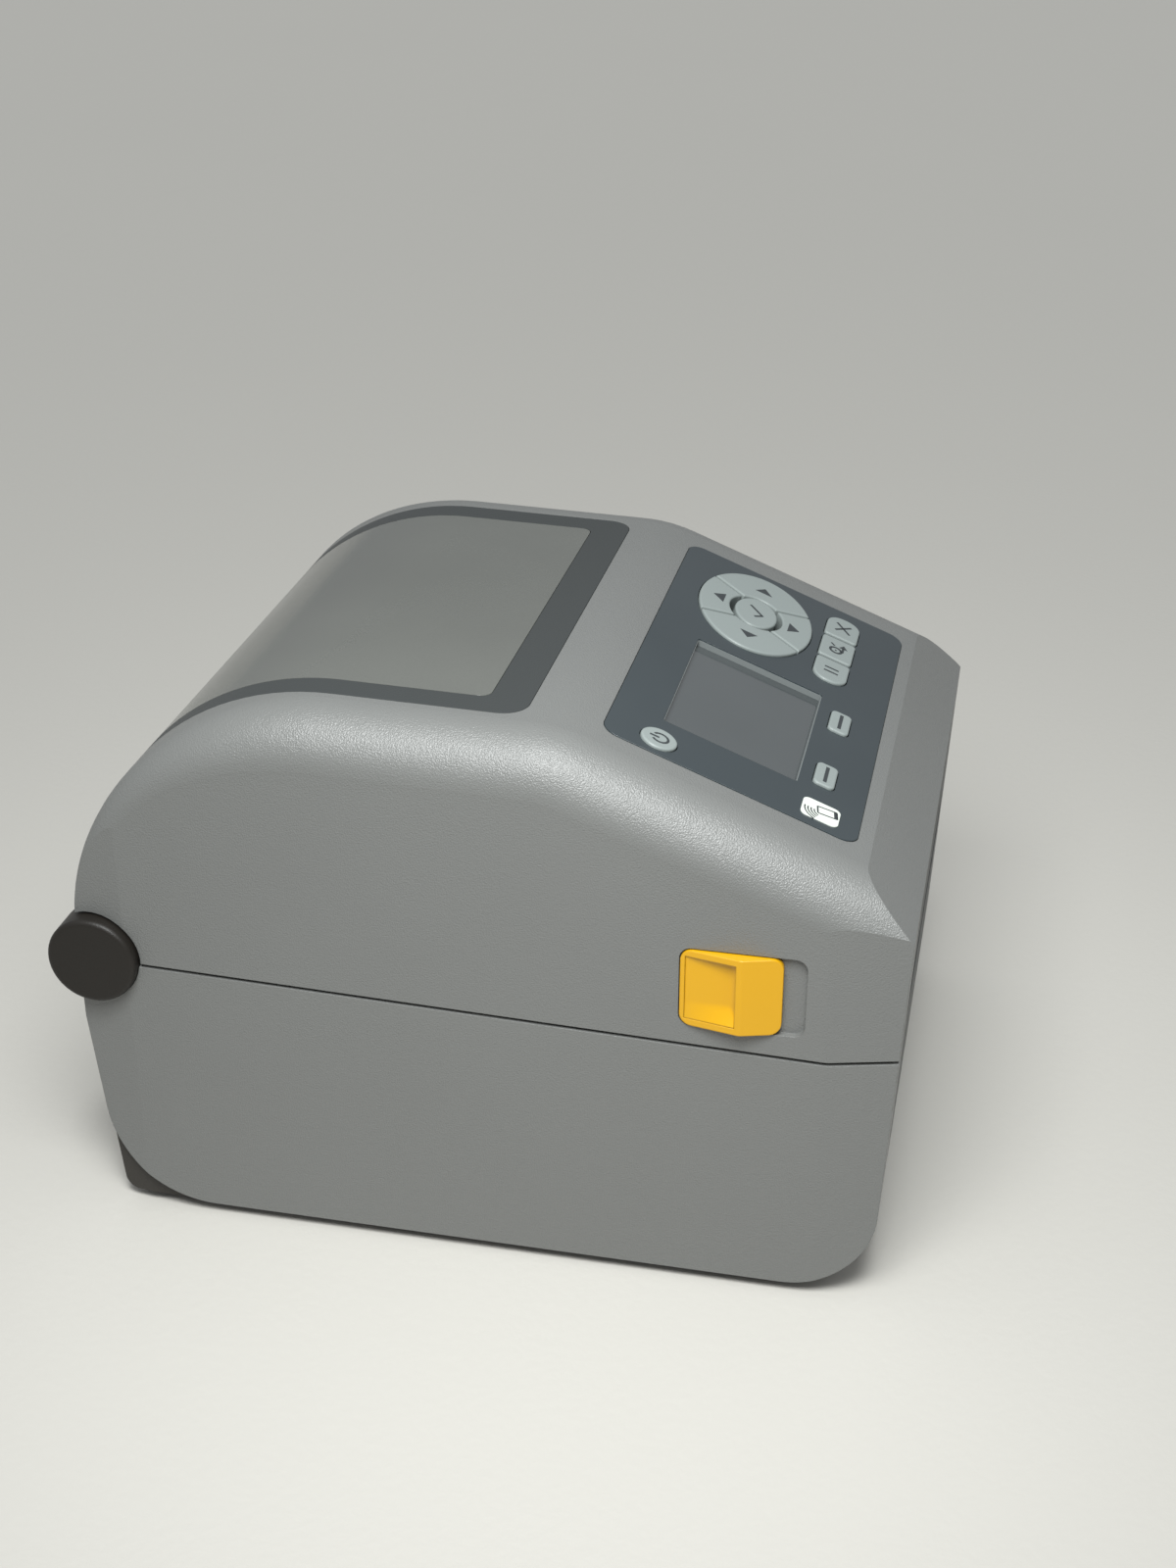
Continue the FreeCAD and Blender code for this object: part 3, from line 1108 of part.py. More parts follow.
# Roll bay: trough on two side plates, and the deck that leads to the platen
ring_out = rod("trough_out", "X", "-trough_half", "roll_y", "roll_z", "trough_radius + trough_wall", "2 * trough_half")
ring_in = rod("trough_in", "X", "-reach", "roll_y", "roll_z", "trough_radius", "2 * reach")
bay_zone = box("bay_zone", "-trough_half - trough_wall", "trough_half + trough_wall", "bay_front_y", "bay_rear_y",
               "floor_z", "bay_top_z")
bay_parts = [overlap("trough", without("trough_ring", ring_out, ring_in), bay_zone)]
for side, word in ((-1, "left"), (1, "right")):
    bay_parts.append(mirrored_box("bay_plate_" + word, side, "trough_half", "trough_half + trough_wall", "bay_front_y",
                                  "bay_rear_y", "floor_z", "bay_top_z"))
deck = box("deck", "-trough_half - trough_wall", "trough_half + trough_wall", "deck_front_y", "bay_front_y + 3",
           "deck_low_z", "deck_high_z")
bay_parts.append(deck)
bay_parts.append(box("bay_front_wall", "-trough_half - trough_wall", "trough_half + trough_wall", "bay_front_y",
                     "bay_front_y + trough_wall", "deck_low_z - 14", "deck_high_z"))
bay_cuts = [box("sensor_slot", "-(sensor_travel + sensor_half + 2)", "sensor_travel + sensor_half + 2",
                "sensor_y - 3", "sensor_y + 3", "deck_low_z - 1", "deck_high_z + 1")]
stem_gap = "0.6"
bay_cuts.append(box("stem_slot_left", "-(holder_x + 3.6)", "-(holder_x - holder_travel - 4)",
                    "roll_y - stem_far - 0.6", "roll_y - stem_near + 0.6", "rack_high_z - 3", "roll_z - trough_radius + 3"))
bay_cuts.append(box("stem_slot_right", "holder_x - holder_travel - 4", "holder_x + 3.6", "roll_y + stem_near - 0.6",
                    "roll_y + stem_far + 0.6", "rack_high_z - 3", "roll_z - trough_radius + 3"))
node(without("media_bay", overlap("bay_in", joined("bay_whole", *bay_parts), hollow), *bay_cuts), "media_bay")

# Roll holders on racks that share one pinion
tooth = math.pi * number("tooth_module")
pitch_reach = number("rack_teeth_radius")
rack_span = number("holder_x") + number("holder_plate") + number("rack_reach")


def rack_shape():
    """Left rack lying along +X from the holder, its teeth towards the pinion, at the origin's height."""
    start = -(number("holder_x") + number("holder_plate"))
    stop = number("rack_reach")
    back = -pitch_reach - 4.0
    root = -pitch_reach - 1.2 * number("tooth_module")
    tip = -pitch_reach + 0.8 * number("tooth_module")
    middle = -pitch_reach
    points = [FreeCAD.Vector(start, back, 0), FreeCAD.Vector(start, root, 0)]
    first = int(math.ceil((start + tooth) / tooth))
    last = int(math.floor((stop - tooth) / tooth))
    for index in range(first, last):
        centre = (index + 0.5) * tooth
        for along, across in ((-0.31, root), (-0.22, middle), (-0.12, tip), (0.12, tip), (0.22, middle), (0.31, root)):
            points.append(FreeCAD.Vector(centre + along * tooth, across, 0))
    points.append(FreeCAD.Vector(stop, root, 0))
    points.append(FreeCAD.Vector(stop, back, 0))
    points.append(points[0])
    thick = number("rack_high_z") - number("rack_low_z")
    return Part.Face(Part.makePolygon(points)).extrude(FreeCAD.Vector(0, 0, thick))


for turn, word in ((0, "left"), (180, "right")):
    rack = doc.addObject("Part::Feature", "rack_" + word)
    rack.Shape = rack_shape()
    holder_parts = [rack]
    for label, x0, x1, y0, y1, z0, z1 in (
            ("stem", "-(holder_x + holder_plate)", "-(holder_x - 3)", "-stem_far", "-stem_near - 0.2", "0",
             "roll_z - trough_radius + 1.6 - rack_low_z"),
            ("upright", "-(holder_x + holder_plate)", "-holder_x", "-holder_half_y", "holder_half_y",
             "roll_z - trough_radius + 1.5 - rack_low_z", "roll_z - rack_low_z")):
        holder_parts.append(box("holder_%s_%s" % (label, word), x0, x1, y0, y1, z0, z1))
    holder_parts.append(rod("holder_disc_" + word, "X", "-(holder_x + holder_plate)", "0", "roll_z - rack_low_z",
                            "holder_radius", "holder_plate"))
    hub = rod("holder_hub_" + word, "X", "-(holder_x + 0.5)", "0", "roll_z - rack_low_z", "holder_hub",
              "holder_hub_length + 0.5")
    holder_parts.append(hub)
    hub_hole = rod("holder_hub_hole_" + word, "X", "-(holder_x - 1)", "0", "roll_z - rack_low_z", "holder_hub - 2.5",
                   "holder_hub_length + 2")
    holder = without("roll_holder_" + word, joined("holder_whole_" + word, *holder_parts), hub_hole)
    holder.Placement = FreeCAD.Placement(FreeCAD.Vector(), FreeCAD.Rotation(FreeCAD.Vector(0, 0, 1), turn))
    placed(holder, "0", "roll_y", "rack_low_z")
    node(holder, "roll_holder_" + word)
pinion = doc.addObject("Part::Feature", "rack_pinion")
pinion.Shape = toothed("rack", "rack_pinion_teeth", number("stud_radius") + number("running_gap"), -90.0,
                       number("rack_high_z") - number("rack_low_z") - 0.4)
placed(pinion, "0", "roll_y", "rack_low_z + 0.2")
node(pinion, "rack_pinion")

# Media sensor that slides in the deck slot
sensor_top = box("sensor_top", "-sensor_half", "sensor_half", "sensor_y - 2.7", "sensor_y + 2.7", "deck_low_z - 1",
                 "deck_high_z + 0.6")
sensor_foot = box("sensor_foot", "-sensor_half", "sensor_half", "sensor_y - 5", "sensor_y + 5", "deck_low_z - 2.3",
                  "deck_low_z - 0.3")
eye = box("sensor_eye", "-2", "2", "sensor_y - 1", "sensor_y + 1", "deck_high_z + 0.2", "reach")
node(without("media_sensor", joined("sensor_whole", sensor_top, sensor_foot), eye), "media_sensor")

# Main board and its sockets
pcb = box("pcb", "-pcb_half", "pcb_half", "pcb_front_y", "pcb_rear_y", "pcb_low_z", "pcb_high_z")
pcb_hole = rod("pcb_hole", "Z", "0", "roll_y", "pcb_low_z - 1", "stud_radius + 1", "5")
chips = [pcb, box("chip_main", "-12", "12", "-26", "-6", "pcb_high_z", "pcb_high_z + 2"),
         box("chip_memory", "18", "30", "-22", "-12", "pcb_high_z", "pcb_high_z + 1.2"),
         box("chip_power", "-52", "-40", "60", "72", "pcb_high_z", "pcb_high_z + 3"),
         rod("capacitor_one", "Z", "-40", "-22", "pcb_high_z", "5", "14"),
         rod("capacitor_two", "Z", "-28", "-24", "pcb_high_z", "4", "11"),
         box("head_plug", "36", "56", "-32", "-27", "pcb_high_z", "pcb_high_z + 6")]
node(without("main_board", joined("board_whole", *chips), pcb_hole), "main_board")


def socket(word):
    return box(word + "_shell", word + "_left", word + "_right", "socket_front_y", "socket_rear_y", "pcb_high_z",
               word + "_top")


def middle_of(word):
    return "(%s_left + %s_right) / 2" % (word, word)


jack = middle_of("dc_power_jack")
jack_z = "(pcb_high_z + dc_power_jack_top) / 2"
jack_bore = rod("jack_bore", "Y", jack, "socket_rear_y - 10", jack_z, "3.2", "12")
jack_pin = rod("jack_pin", "Y", jack, "socket_rear_y - 11", jack_z, "1", "9")
node(joined("dc_power_jack", without("jack_shell", socket("dc_power_jack"), jack_bore), jack_pin), "dc_power_jack")
for word, half_x, low, high, tongue_low, tongue_high in (
        ("usb_device_port", "4.3", "1.6", "9.4", "3.9", "7.1"),
        ("usb_host_port", "6.2", "0.8", "6", "3.8", "5.4"),
        ("ethernet_port", "6", "2", "10", "10", "11")):
    centre = middle_of(word)
    cavity = box(word + "_cavity", centre + " - " + half_x, centre + " + " + half_x, "socket_rear_y - 11", "reach",
                 "pcb_high_z + " + low, "pcb_high_z + " + high)
    if word == "ethernet_port":
        notch = box(word + "_clip", centre + " - 2", centre + " + 2", "socket_rear_y - 6", "reach",
                    "pcb_high_z + " + high, "pcb_high_z + 12")
        node(without(word, socket(word), cavity, notch), word)
    else:
        tongue = box(word + "_tongue", centre + " - %s + 1.4" % half_x, centre + " + %s - 1.4" % half_x,
                     "socket_rear_y - 12", "socket_rear_y - 1", "pcb_high_z + " + tongue_low,
                     "pcb_high_z + " + tongue_high)
        node(joined(word, without(word + "_open", socket(word), cavity), tongue), word)
serial = middle_of("serial_port")
serial_z = "(pcb_high_z + serial_port_top) / 2"
collar = box("serial_collar", serial + " - 8.4", serial + " + 8.4", "socket_rear_y - 1", "socket_rear_y + 4.6",
             serial_z + " - 4.2", serial_z + " + 4.2")
collar_soft = softened("serial_collar_soft", collar, "latch_corner * 0.8", runs("y"))
serial_parts = [socket("serial_port"), collar_soft]
for side in (-1, 1):
    serial_parts.append(rod("serial_nut_%d" % (side + 1), "Y", serial + " + %d * 12.5" % side, "socket_rear_y - 1",
                            serial_z, "2.6", "4.5"))
serial_cuts = []
for index in range(9):
    upper = index < 5
    hole_x = (index - 2) * 2.76 if upper else (index - 6.5) * 2.76
    serial_cuts.append(rod("serial_pin_hole_%d" % index, "Y", "%s + %s" % (serial, hole_x), "socket_rear_y + 1", 
                           serial_z + (" + 1.4" if upper else " - 1.4"), "0.6", "6"))
node(without("serial_port", joined("serial_whole", *serial_parts), *serial_cuts), "serial_port")

doc.recompute()
problems = []
for item in doc.Objects:
    if "Invalid" in item.State or "Error" in item.State:
        problems.append(item.Name)
for solid in nodes:
    if solid.Shape.isNull() or not solid.Shape.isValid() or not solid.Shape.Solids:
        problems.append(solid.Label)
if problems:
    raise RuntimeError("not sound: " + ", ".join(problems))
os.makedirs("parts", exist_ok=True)
for solid in nodes:
    solid.Shape.exportStep(os.path.join("parts", solid.Label + ".step"))
    print(solid.Label, len(solid.Shape.Solids), round(solid.Shape.Volume, 1))
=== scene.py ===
import json
import math

import bpy
from mathutils import Matrix, Vector
from mathutils.bvhtree import BVHTree


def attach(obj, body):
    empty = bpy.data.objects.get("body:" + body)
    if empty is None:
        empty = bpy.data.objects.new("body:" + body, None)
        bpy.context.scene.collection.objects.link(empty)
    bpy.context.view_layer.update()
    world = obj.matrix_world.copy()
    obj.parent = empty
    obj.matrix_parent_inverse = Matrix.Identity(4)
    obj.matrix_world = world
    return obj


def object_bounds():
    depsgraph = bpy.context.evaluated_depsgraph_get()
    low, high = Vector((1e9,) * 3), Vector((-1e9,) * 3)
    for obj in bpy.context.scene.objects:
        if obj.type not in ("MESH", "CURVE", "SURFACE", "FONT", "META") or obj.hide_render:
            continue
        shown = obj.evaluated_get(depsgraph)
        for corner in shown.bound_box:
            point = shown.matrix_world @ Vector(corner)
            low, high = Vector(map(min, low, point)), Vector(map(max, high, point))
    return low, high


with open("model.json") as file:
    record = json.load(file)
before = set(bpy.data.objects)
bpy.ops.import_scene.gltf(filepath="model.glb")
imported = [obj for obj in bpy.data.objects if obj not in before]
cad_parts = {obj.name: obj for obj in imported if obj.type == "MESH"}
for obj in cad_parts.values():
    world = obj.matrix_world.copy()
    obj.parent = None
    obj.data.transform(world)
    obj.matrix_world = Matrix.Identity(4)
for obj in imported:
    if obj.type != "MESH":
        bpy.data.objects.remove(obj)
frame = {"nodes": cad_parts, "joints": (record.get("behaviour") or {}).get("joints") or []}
cad_low, cad_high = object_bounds()
MM = 0.001

# The panel's own directions: across it, up its slope and out of it, from the way its keys press
press = next(j for j in frame["joints"] if j["name"] == "ok_press")["axis"]
out = -Vector(press).normalized()
across = Vector((1, 0, 0))
up_slope = out.cross(across)
to_panel = Matrix((across, up_slope, out))
from_panel = to_panel.transposed()


def panel_box(node):
    """Lowest and highest corner of a CAD node, measured along the panel's directions, in metres."""
    points = [to_panel @ vertex.co for vertex in frame["nodes"][node].data.vertices]
    low = Vector([min(point[axis] for point in points) for axis in range(3)])
    high = Vector([max(point[axis] for point in points) for axis in range(3)])
    return low, high


# ---------------------------------------------------------------- materials
# Sockets of a colour Mix node
MIX_A = 6
MIX_B = 7
MIX_OUT = 2

COAT_ROUGHNESS = 0.12
BROAD_DETAIL = 3.0
FINE_DETAIL = 2.0
BROAD_SHARE = 0.7           # of the tone; the fine grain gives the rest
SMOOTHEST = 0.02
BEVEL_SAMPLES = 6
DUST_COLOUR = (0.42, 0.44, 0.43, 1)
GLASSY_IOR = 1.45


def add(tree, kind, **values):
    """New shader node, with its settings."""
    made = tree.nodes.new(kind)
    for key, value in values.items():
        setattr(made, key, value)
    return made


def dusted(tree, colour_out, broad, amount):
    """Colour with a thin, patchy veil of dust on faces that look up."""
    link = tree.links.new
    facing = add(tree, "ShaderNodeNewGeometry")
    split = add(tree, "ShaderNodeSeparateXYZ")
    link(facing.outputs["Normal"], split.inputs[0])
    lift = add(tree, "ShaderNodeMath", operation="MULTIPLY", use_clamp=True)
    lift.inputs[1].default_value = amount
    link(split.outputs["Z"], lift.inputs[0])
    patchy = add(tree, "ShaderNodeMath", operation="MULTIPLY")
    link(lift.outputs[0], patchy.inputs[0])
    link(broad.outputs["Fac"], patchy.inputs[1])
    veil = add(tree, "ShaderNodeMix", data_type="RGBA")
    veil.inputs[MIX_B].default_value = DUST_COLOUR
    link(colour_out, veil.inputs[MIX_A])
    link(patchy.outputs[0], veil.inputs[0])
    return veil.outputs[MIX_OUT]


def surface(name, colour, rough, grain=0.0, grain_size=0.4, mottle=0.06, mottle_size=18.0, metal=0.0,
            coat=0.0, edge=0.25, rough_spread=0.08, specular=0.5, dust=0.0, streak=None):
    """Procedural surface: broad mottling, fine moulded grain as bump, rounded edges from a bevel.

    grain_size and edge are in millimetres; mottle_size is in patches per metre.
    """
    made = bpy.data.materials.new(name)
    made.use_nodes = True
    tree = made.node_tree
    link = tree.links.new
    shader = tree.nodes["Principled BSDF"]
    shader.inputs["Metallic"].default_value = metal
    shader.inputs["Coat Weight"].default_value = coat
    shader.inputs["Coat Roughness"].default_value = COAT_ROUGHNESS
    shader.inputs["Specular IOR Level"].default_value = specular

    # Two noises in the object's own space: broad patches, and fine grain, stretched where it is brushed
    source = add(tree, "ShaderNodeTexCoord").outputs["Object"]
    broad = add(tree, "ShaderNodeTexNoise")
    broad.inputs["Scale"].default_value = mottle_size
    broad.inputs["Detail"].default_value = BROAD_DETAIL
    link(source, broad.inputs["Vector"])
    fine = add(tree, "ShaderNodeTexNoise")
    fine.inputs["Scale"].default_value = 1.0 / (grain_size * MM)
    fine.inputs["Detail"].default_value = FINE_DETAIL
    if streak:
        stretch = add(tree, "ShaderNodeMapping")
        stretch.inputs["Scale"].default_value = streak
        link(source, stretch.inputs["Vector"])
        source = stretch.outputs["Vector"]
    link(source, fine.inputs["Vector"])

    # Tone
    tone = add(tree, "ShaderNodeMix", data_type="RGBA")
    tone.inputs[MIX_A].default_value = (*[channel * (1 - mottle) for channel in colour], 1)
    tone.inputs[MIX_B].default_value = (*[min(1.0, channel * (1 + mottle)) for channel in colour], 1)
    fine_part = add(tree, "ShaderNodeMath", operation="MULTIPLY")
    fine_part.inputs[1].default_value = 1 - BROAD_SHARE
    link(fine.outputs["Fac"], fine_part.inputs[0])
    both = add(tree, "ShaderNodeMath", operation="MULTIPLY_ADD")
    both.inputs[1].default_value = BROAD_SHARE
    link(broad.outputs["Fac"], both.inputs[0])
    link(fine_part.outputs[0], both.inputs[2])
    link(both.outputs[0], tone.inputs[0])
    colour_out = tone.outputs[MIX_OUT]
    if dust:
        colour_out = dusted(tree, colour_out, broad, dust)
    link(colour_out, shader.inputs["Base Color"])

    # Roughness
    spread = add(tree, "ShaderNodeMapRange")
    spread.inputs["To Min"].default_value = max(SMOOTHEST, rough - rough_spread)
    spread.inputs["To Max"].default_value = min(1.0, rough + rough_spread)
    link(broad.outputs["Fac"], spread.inputs["Value"])
    link(spread.outputs["Result"], shader.inputs["Roughness"])

    # Edges and grain
    soft = add(tree, "ShaderNodeBevel", samples=BEVEL_SAMPLES)
    soft.inputs["Radius"].default_value = edge * MM
    normal = soft.outputs["Normal"]
    if grain:
        bump = add(tree, "ShaderNodeBump")
        bump.inputs["Strength"].default_value = grain
        bump.inputs["Distance"].default_value = grain_size * MM
        link(fine.outputs["Fac"], bump.inputs["Height"])
        link(normal, bump.inputs["Normal"])
        normal = bump.outputs["Normal"]
    link(normal, shader.inputs["Normal"])
    return made


def smoked_with_painted_reflections(name, tint, rough, clear):
    """Tinted clear sheet whose roughness varies in patches; the broad light and dark patches in its
    colour are painted reflections.
    """
    # The strong, broad colour mottle here is painted reflection: fixed light and dark patches that
    # stand in for the room mirrored in the sheet
    made = surface(name, tint, rough, mottle=0.35, mottle_size=11.0, rough_spread=0.09, edge=0.2)
    shader = made.node_tree.nodes["Principled BSDF"]
    shader.inputs["Transmission Weight"].default_value = clear
    shader.inputs["IOR"].default_value = GLASSY_IOR
    return made


case_grey = surface("case_grey", (0.150, 0.153, 0.148), 0.37, grain=0.52, grain_size=0.4, mottle=0.05,
                    rough_spread=0.05, specular=0.65)
charcoal = surface("charcoal", (0.037, 0.041, 0.041), 0.46, grain=0.22, grain_size=0.45, specular=0.3)
chassis_dark = surface("chassis_dark", (0.026, 0.023, 0.019), 0.55, grain=0.25, grain_size=0.5)
cap_dark = surface("cap_dark", (0.014, 0.012, 0.010), 0.42, grain=0.16, grain_size=0.4, edge=0.5,
                   specular=0.3)
bay_grey = surface("bay_grey", (0.12, 0.125, 0.13), 0.5, grain=0.2)
fascia = surface("fascia", (0.022, 0.031, 0.036), 0.30, grain=0.05, grain_size=0.25, mottle=0.10,
                 dust=0.04, edge=0.3)
key_grey = surface("key_grey", (0.225, 0.255, 0.248), 0.40, grain=0.08, grain_size=0.25, mottle=0.04,
                   edge=0.55)
glyph_ink = surface("glyph_ink", (0.028, 0.033, 0.036), 0.5, edge=0.02)
badge_white = surface("badge_white", (0.62, 0.65, 0.60), 0.4, mottle=0.03, edge=0.1)
latch_yellow = surface("latch_yellow", (0.60, 0.315, 0.004), 0.32, grain=0.06, grain_size=0.3,
                       mottle=0.03, edge=0.5)
rubber = surface("rubber", (0.018, 0.018, 0.018), 0.8, grain=0.3)
board_green = surface("board_green", (0.015, 0.075, 0.035), 0.4, grain=0.15, grain_size=1.2, mottle=0.3,
                      mottle_size=160.0)
steel = surface("steel", (0.55, 0.56, 0.57), 0.28, grain=0.12, grain_size=0.3, metal=1.0,
                streak=(0.06, 1, 1))
aluminium = surface("aluminium", (0.66, 0.67, 0.69), 0.35, grain=0.15, grain_size=0.3, metal=1.0,
                    streak=(0.05, 1, 1))
plated = surface("plated", (0.62, 0.63, 0.64), 0.18, grain=0.05, metal=1.0)
brass = surface("brass", (0.60, 0.43, 0.17), 0.3, grain=0.1, metal=1.0)
motor_black = surface("motor_black", (0.022, 0.022, 0.024), 0.4, grain=0.1)
ceramic = surface("ceramic", (0.62, 0.60, 0.55), 0.25, mottle=0.03)
gear_white = surface("gear_white", (0.72, 0.70, 0.64), 0.45, grain=0.08)
socket_black = surface("socket_black", (0.014, 0.014, 0.014), 0.4, grain=0.1)
# Window tint, with painted reflections as broad light and dark patches in its colour
window_smoke = smoked_with_painted_reflections("window_smoke", (0.160, 0.165, 0.150), 0.18, 0.35)
screen_glass = surface("screen_glass", (0.045, 0.052, 0.054), 0.12, mottle=0.22, mottle_size=26.0,
                       rough_spread=0.04, coat=0.6, edge=0.1, specular=0.8)

finish = {
    case_grey: ["top_cover", "left_side_panel", "right_side_panel"],
    charcoal: ["window_frame", "cover_front_bezel", "front_bezel", "cover_inner_frame"],
    chassis_dark: ["base_chassis"],
    cap_dark: ["hinge_caps"],
    bay_grey: ["media_bay", "roll_holder_left", "roll_holder_right"],
    fascia: ["control_panel"],
    badge_white: ["panel_badge"],
    latch_yellow: ["latch_left", "latch_right"],
    rubber: ["rubber_feet", "platen_roller", "keypad_membrane"],
    board_green: ["main_board", "panel_board"],
    steel: ["housing_screws", "cover_screws", "motor_screws", "hinge_pins", "printhead_pin",
            "printhead_bracket", "printhead_springs", "platen_shaft", "drive_bracket",
            "bearing_bracket", "tear_bar", "latch_catches"],
    aluminium: ["printhead_heatsink"],
    plated: ["usb_device_port", "usb_host_port", "ethernet_port", "serial_port"],
    brass: ["motor_pinion"],
    motor_black: ["stepper_motor"],
    ceramic: ["printhead"],
    gear_white: ["platen_gear", "idler_gear", "rack_pinion", "platen_bearings"],
    socket_black: ["dc_power_jack", "media_sensor"],
    window_smoke: ["media_window"],
    screen_glass: ["lcd_display"],
    key_grey: [name for name in frame["nodes"] if name.endswith("_button")],
}
for material, names in finish.items():
    for name in names:
        mesh = frame["nodes"][name].data
        mesh.materials.clear()
        mesh.materials.append(material)


# ---------------------------------------------------------------- added pieces
def new_piece(name, verts, faces, material, body):
    """Mesh object that rides a body and takes the material it is given."""
    mesh = bpy.data.meshes.new(name)
    mesh.from_pydata(verts, [], faces)
    mesh.materials.append(material)
    piece = bpy.data.objects.new(name, mesh)
    bpy.context.scene.collection.objects.link(piece)
    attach(piece, body)
    return piece


def skin_of(node):
    """A CAD node's surface, for casting rays at it."""
    mesh = frame["nodes"][node].data
    return BVHTree.FromPolygons([vertex.co for vertex in mesh.vertices],
                                [list(polygon.vertices) for polygon in mesh.polygons])


# ---------------------------------------------------------------- printed marks
INK = 0.04 * MM             # how far a print stands out of the face, and how far it sinks in
ABOVE = 5 * MM              # where the rays that find the face start


def mark(name, outlines, node, body, material):
    """Printed marks that follow a node's outer face: flat outlines, in millimetres about its middle."""
    skin = skin_of(node)
    low, high = panel_box(node)
    centre_x = (low.x + high.x) / 2
    centre_y = (low.y + high.y) / 2
    verts = []
    faces = []
    for outline in outlines:
        area = sum(a[0] * b[1] - b[0] * a[1] for a, b in zip(outline, outline[1:] + outline[:1]))
        ring = outline if area > 0 else outline[::-1]
        first = len(verts)
        count = len(ring)
        feet = []
        for x, y in ring:
            above = Vector((centre_x + x * MM, centre_y + y * MM, high.z + ABOVE))
            hit = skin.ray_cast(from_panel @ above, -out)[0]
            feet.append(hit if hit is not None else from_panel @ (above - Vector((0, 0, ABOVE))))
        verts += [foot - out * INK for foot in feet]
        verts += [foot + out * INK for foot in feet]
        faces.append(list(range(first + count, first + 2 * count)))
        faces.append(list(range(first + count - 1, first - 1, -1)))
        for index in range(count):
            following = (index + 1) % count
            faces.append([first + index, first + following, first + count + following,
                          first + count + index])
    new_piece(name, verts, faces, material, body)


def bar(x0, y0, x1, y1, width):
    """Straight stroke between two points."""
    along = Vector((x1 - x0, y1 - y0)).normalized() * width / 2
    side = Vector((-along.y, along.x))
    start = Vector((x0, y0))
    stop = Vector((x1, y1))
    return [tuple(start - side), tuple(stop - side), tuple(stop + side), tuple(start + side)]


def arc_strokes(x, y, radius, first, last, width, steps=14):
    """Curved stroke as short straight ones that lap a little at their ends; angles in degrees."""
    lap = 0.08
    strokes = []
    for index in range(steps):
        a = math.radians(first + (last - first) * index / steps)
        b = math.radians(first + (last - first) * (index + 1 + lap) / steps)
        inner = radius - width / 2
        outer = radius + width / 2
        strokes.append([(x + inner * math.cos(a), y + inner * math.sin(a)),
                        (x + outer * math.cos(a), y + outer * math.sin(a)),
                        (x + outer * math.cos(b), y + outer * math.sin(b)),
                        (x + inner * math.cos(b), y + inner * math.sin(b))])
    return strokes


def dash(x0, y0, x1, y1, width, steps=8):
    """Stroke in short lengths, so that it can follow a dished face."""
    strokes = []
    for index in range(steps):
        a = index / steps
        b = (index + 1) / steps
        strokes.append(bar(x0 + (x1 - x0) * a, y0 + (y1 - y0) * a,
                           x0 + (x1 - x0) * b, y0 + (y1 - y0) * b, width))
    return strokes


def mark_key(key, outlines):
    """Print on one key; x runs across the panel and y up its slope, in millimetres."""
    mark(key + "_glyph", outlines, key + "_button", key + "_key", glyph_ink)


# Key pictures; pen is the usual width of a stroke
pen = 0.75
arrow_wide = 2.9
arrow_tall = 1.7
side_wide = arrow_wide * 0.9
mark_key("up", [[(-arrow_wide, -arrow_tall), (arrow_wide, -arrow_tall), (0, arrow_tall)]])
mark_key("down", [[(-arrow_wide, arrow_tall), (arrow_wide, arrow_tall), (0, -arrow_tall)]])
mark_key("left", [[(arrow_tall, -side_wide), (arrow_tall, side_wide), (-arrow_tall, 0)]])
mark_key("right", [[(-arrow_tall, -side_wide), (-arrow_tall, side_wide), (arrow_tall, 0)]])
mark_key("ok", [bar(-2.9, 0.2, -0.6, -2.0, pen), bar(-0.9, -2.1, 3.4, 2.3, pen)])
mark_key("pause", [bar(-1.2, -2.1, -1.2, 2.1, pen), bar(1.2, -2.1, 1.2, 2.1, pen)])
mark_key("cancel", [bar(-2.6, -2.2, 2.6, 2.2, pen), bar(-2.6, 2.2, 2.6, -2.2, pen)])
mark_key("feed", arc_strokes(-1.2, 0.4, 1.7, 0, 360, 0.8)
         + [bar(-1.2, -1.6, 2.0, -1.6, 0.7), [(1.4, -2.9), (3.6, -1.6), (1.4, -0.3)],
            bar(1.4, 1.0, 2.6, 2.2, 0.6), bar(-1.2, 0.1, -1.2, 0.7, 0.6)])
mark_key("power", arc_strokes(0, -0.2, 2.1, 125, 415, 0.7) + [bar(0, 0.1, 0, 2.6, pen)])
for side in ("left", "right"):
    mark_key(side + "_select", dash(-4.1, 0, 4.1, 0, 1.0))

# Badge picture: a hand-held device, a little tilted, with a thick bar at one end and waves beside it
lean = math.radians(9)
half_across, half_along = 1.6, 2.6
device_x, device_y = 0.9, -1.7
corners = [(-half_across, -half_along), (half_across, -half_along), (half_across, half_along),
           (-half_across, half_along)]
turned = [(device_x + x * math.cos(lean) - y * math.sin(lean),
           device_y + x * math.sin(lean) + y * math.cos(lean)) for x, y in corners]
picture = [bar(*turned[index], *turned[(index + 1) % 4], 0.42) for index in range(4)]
end_inset = 0.4
picture.append(bar(turned[0][0], turned[0][1] + end_inset, turned[1][0], turned[1][1] + end_inset, 0.9))
first_wave, wave_gap = 2.1, 0.85
for step in range(4):
    picture += arc_strokes(-0.3, -0.4, first_wave + wave_gap * step, 84, 158, 0.36, steps=8)
mark("badge_picture", picture, "panel_badge", "cover", glyph_ink)

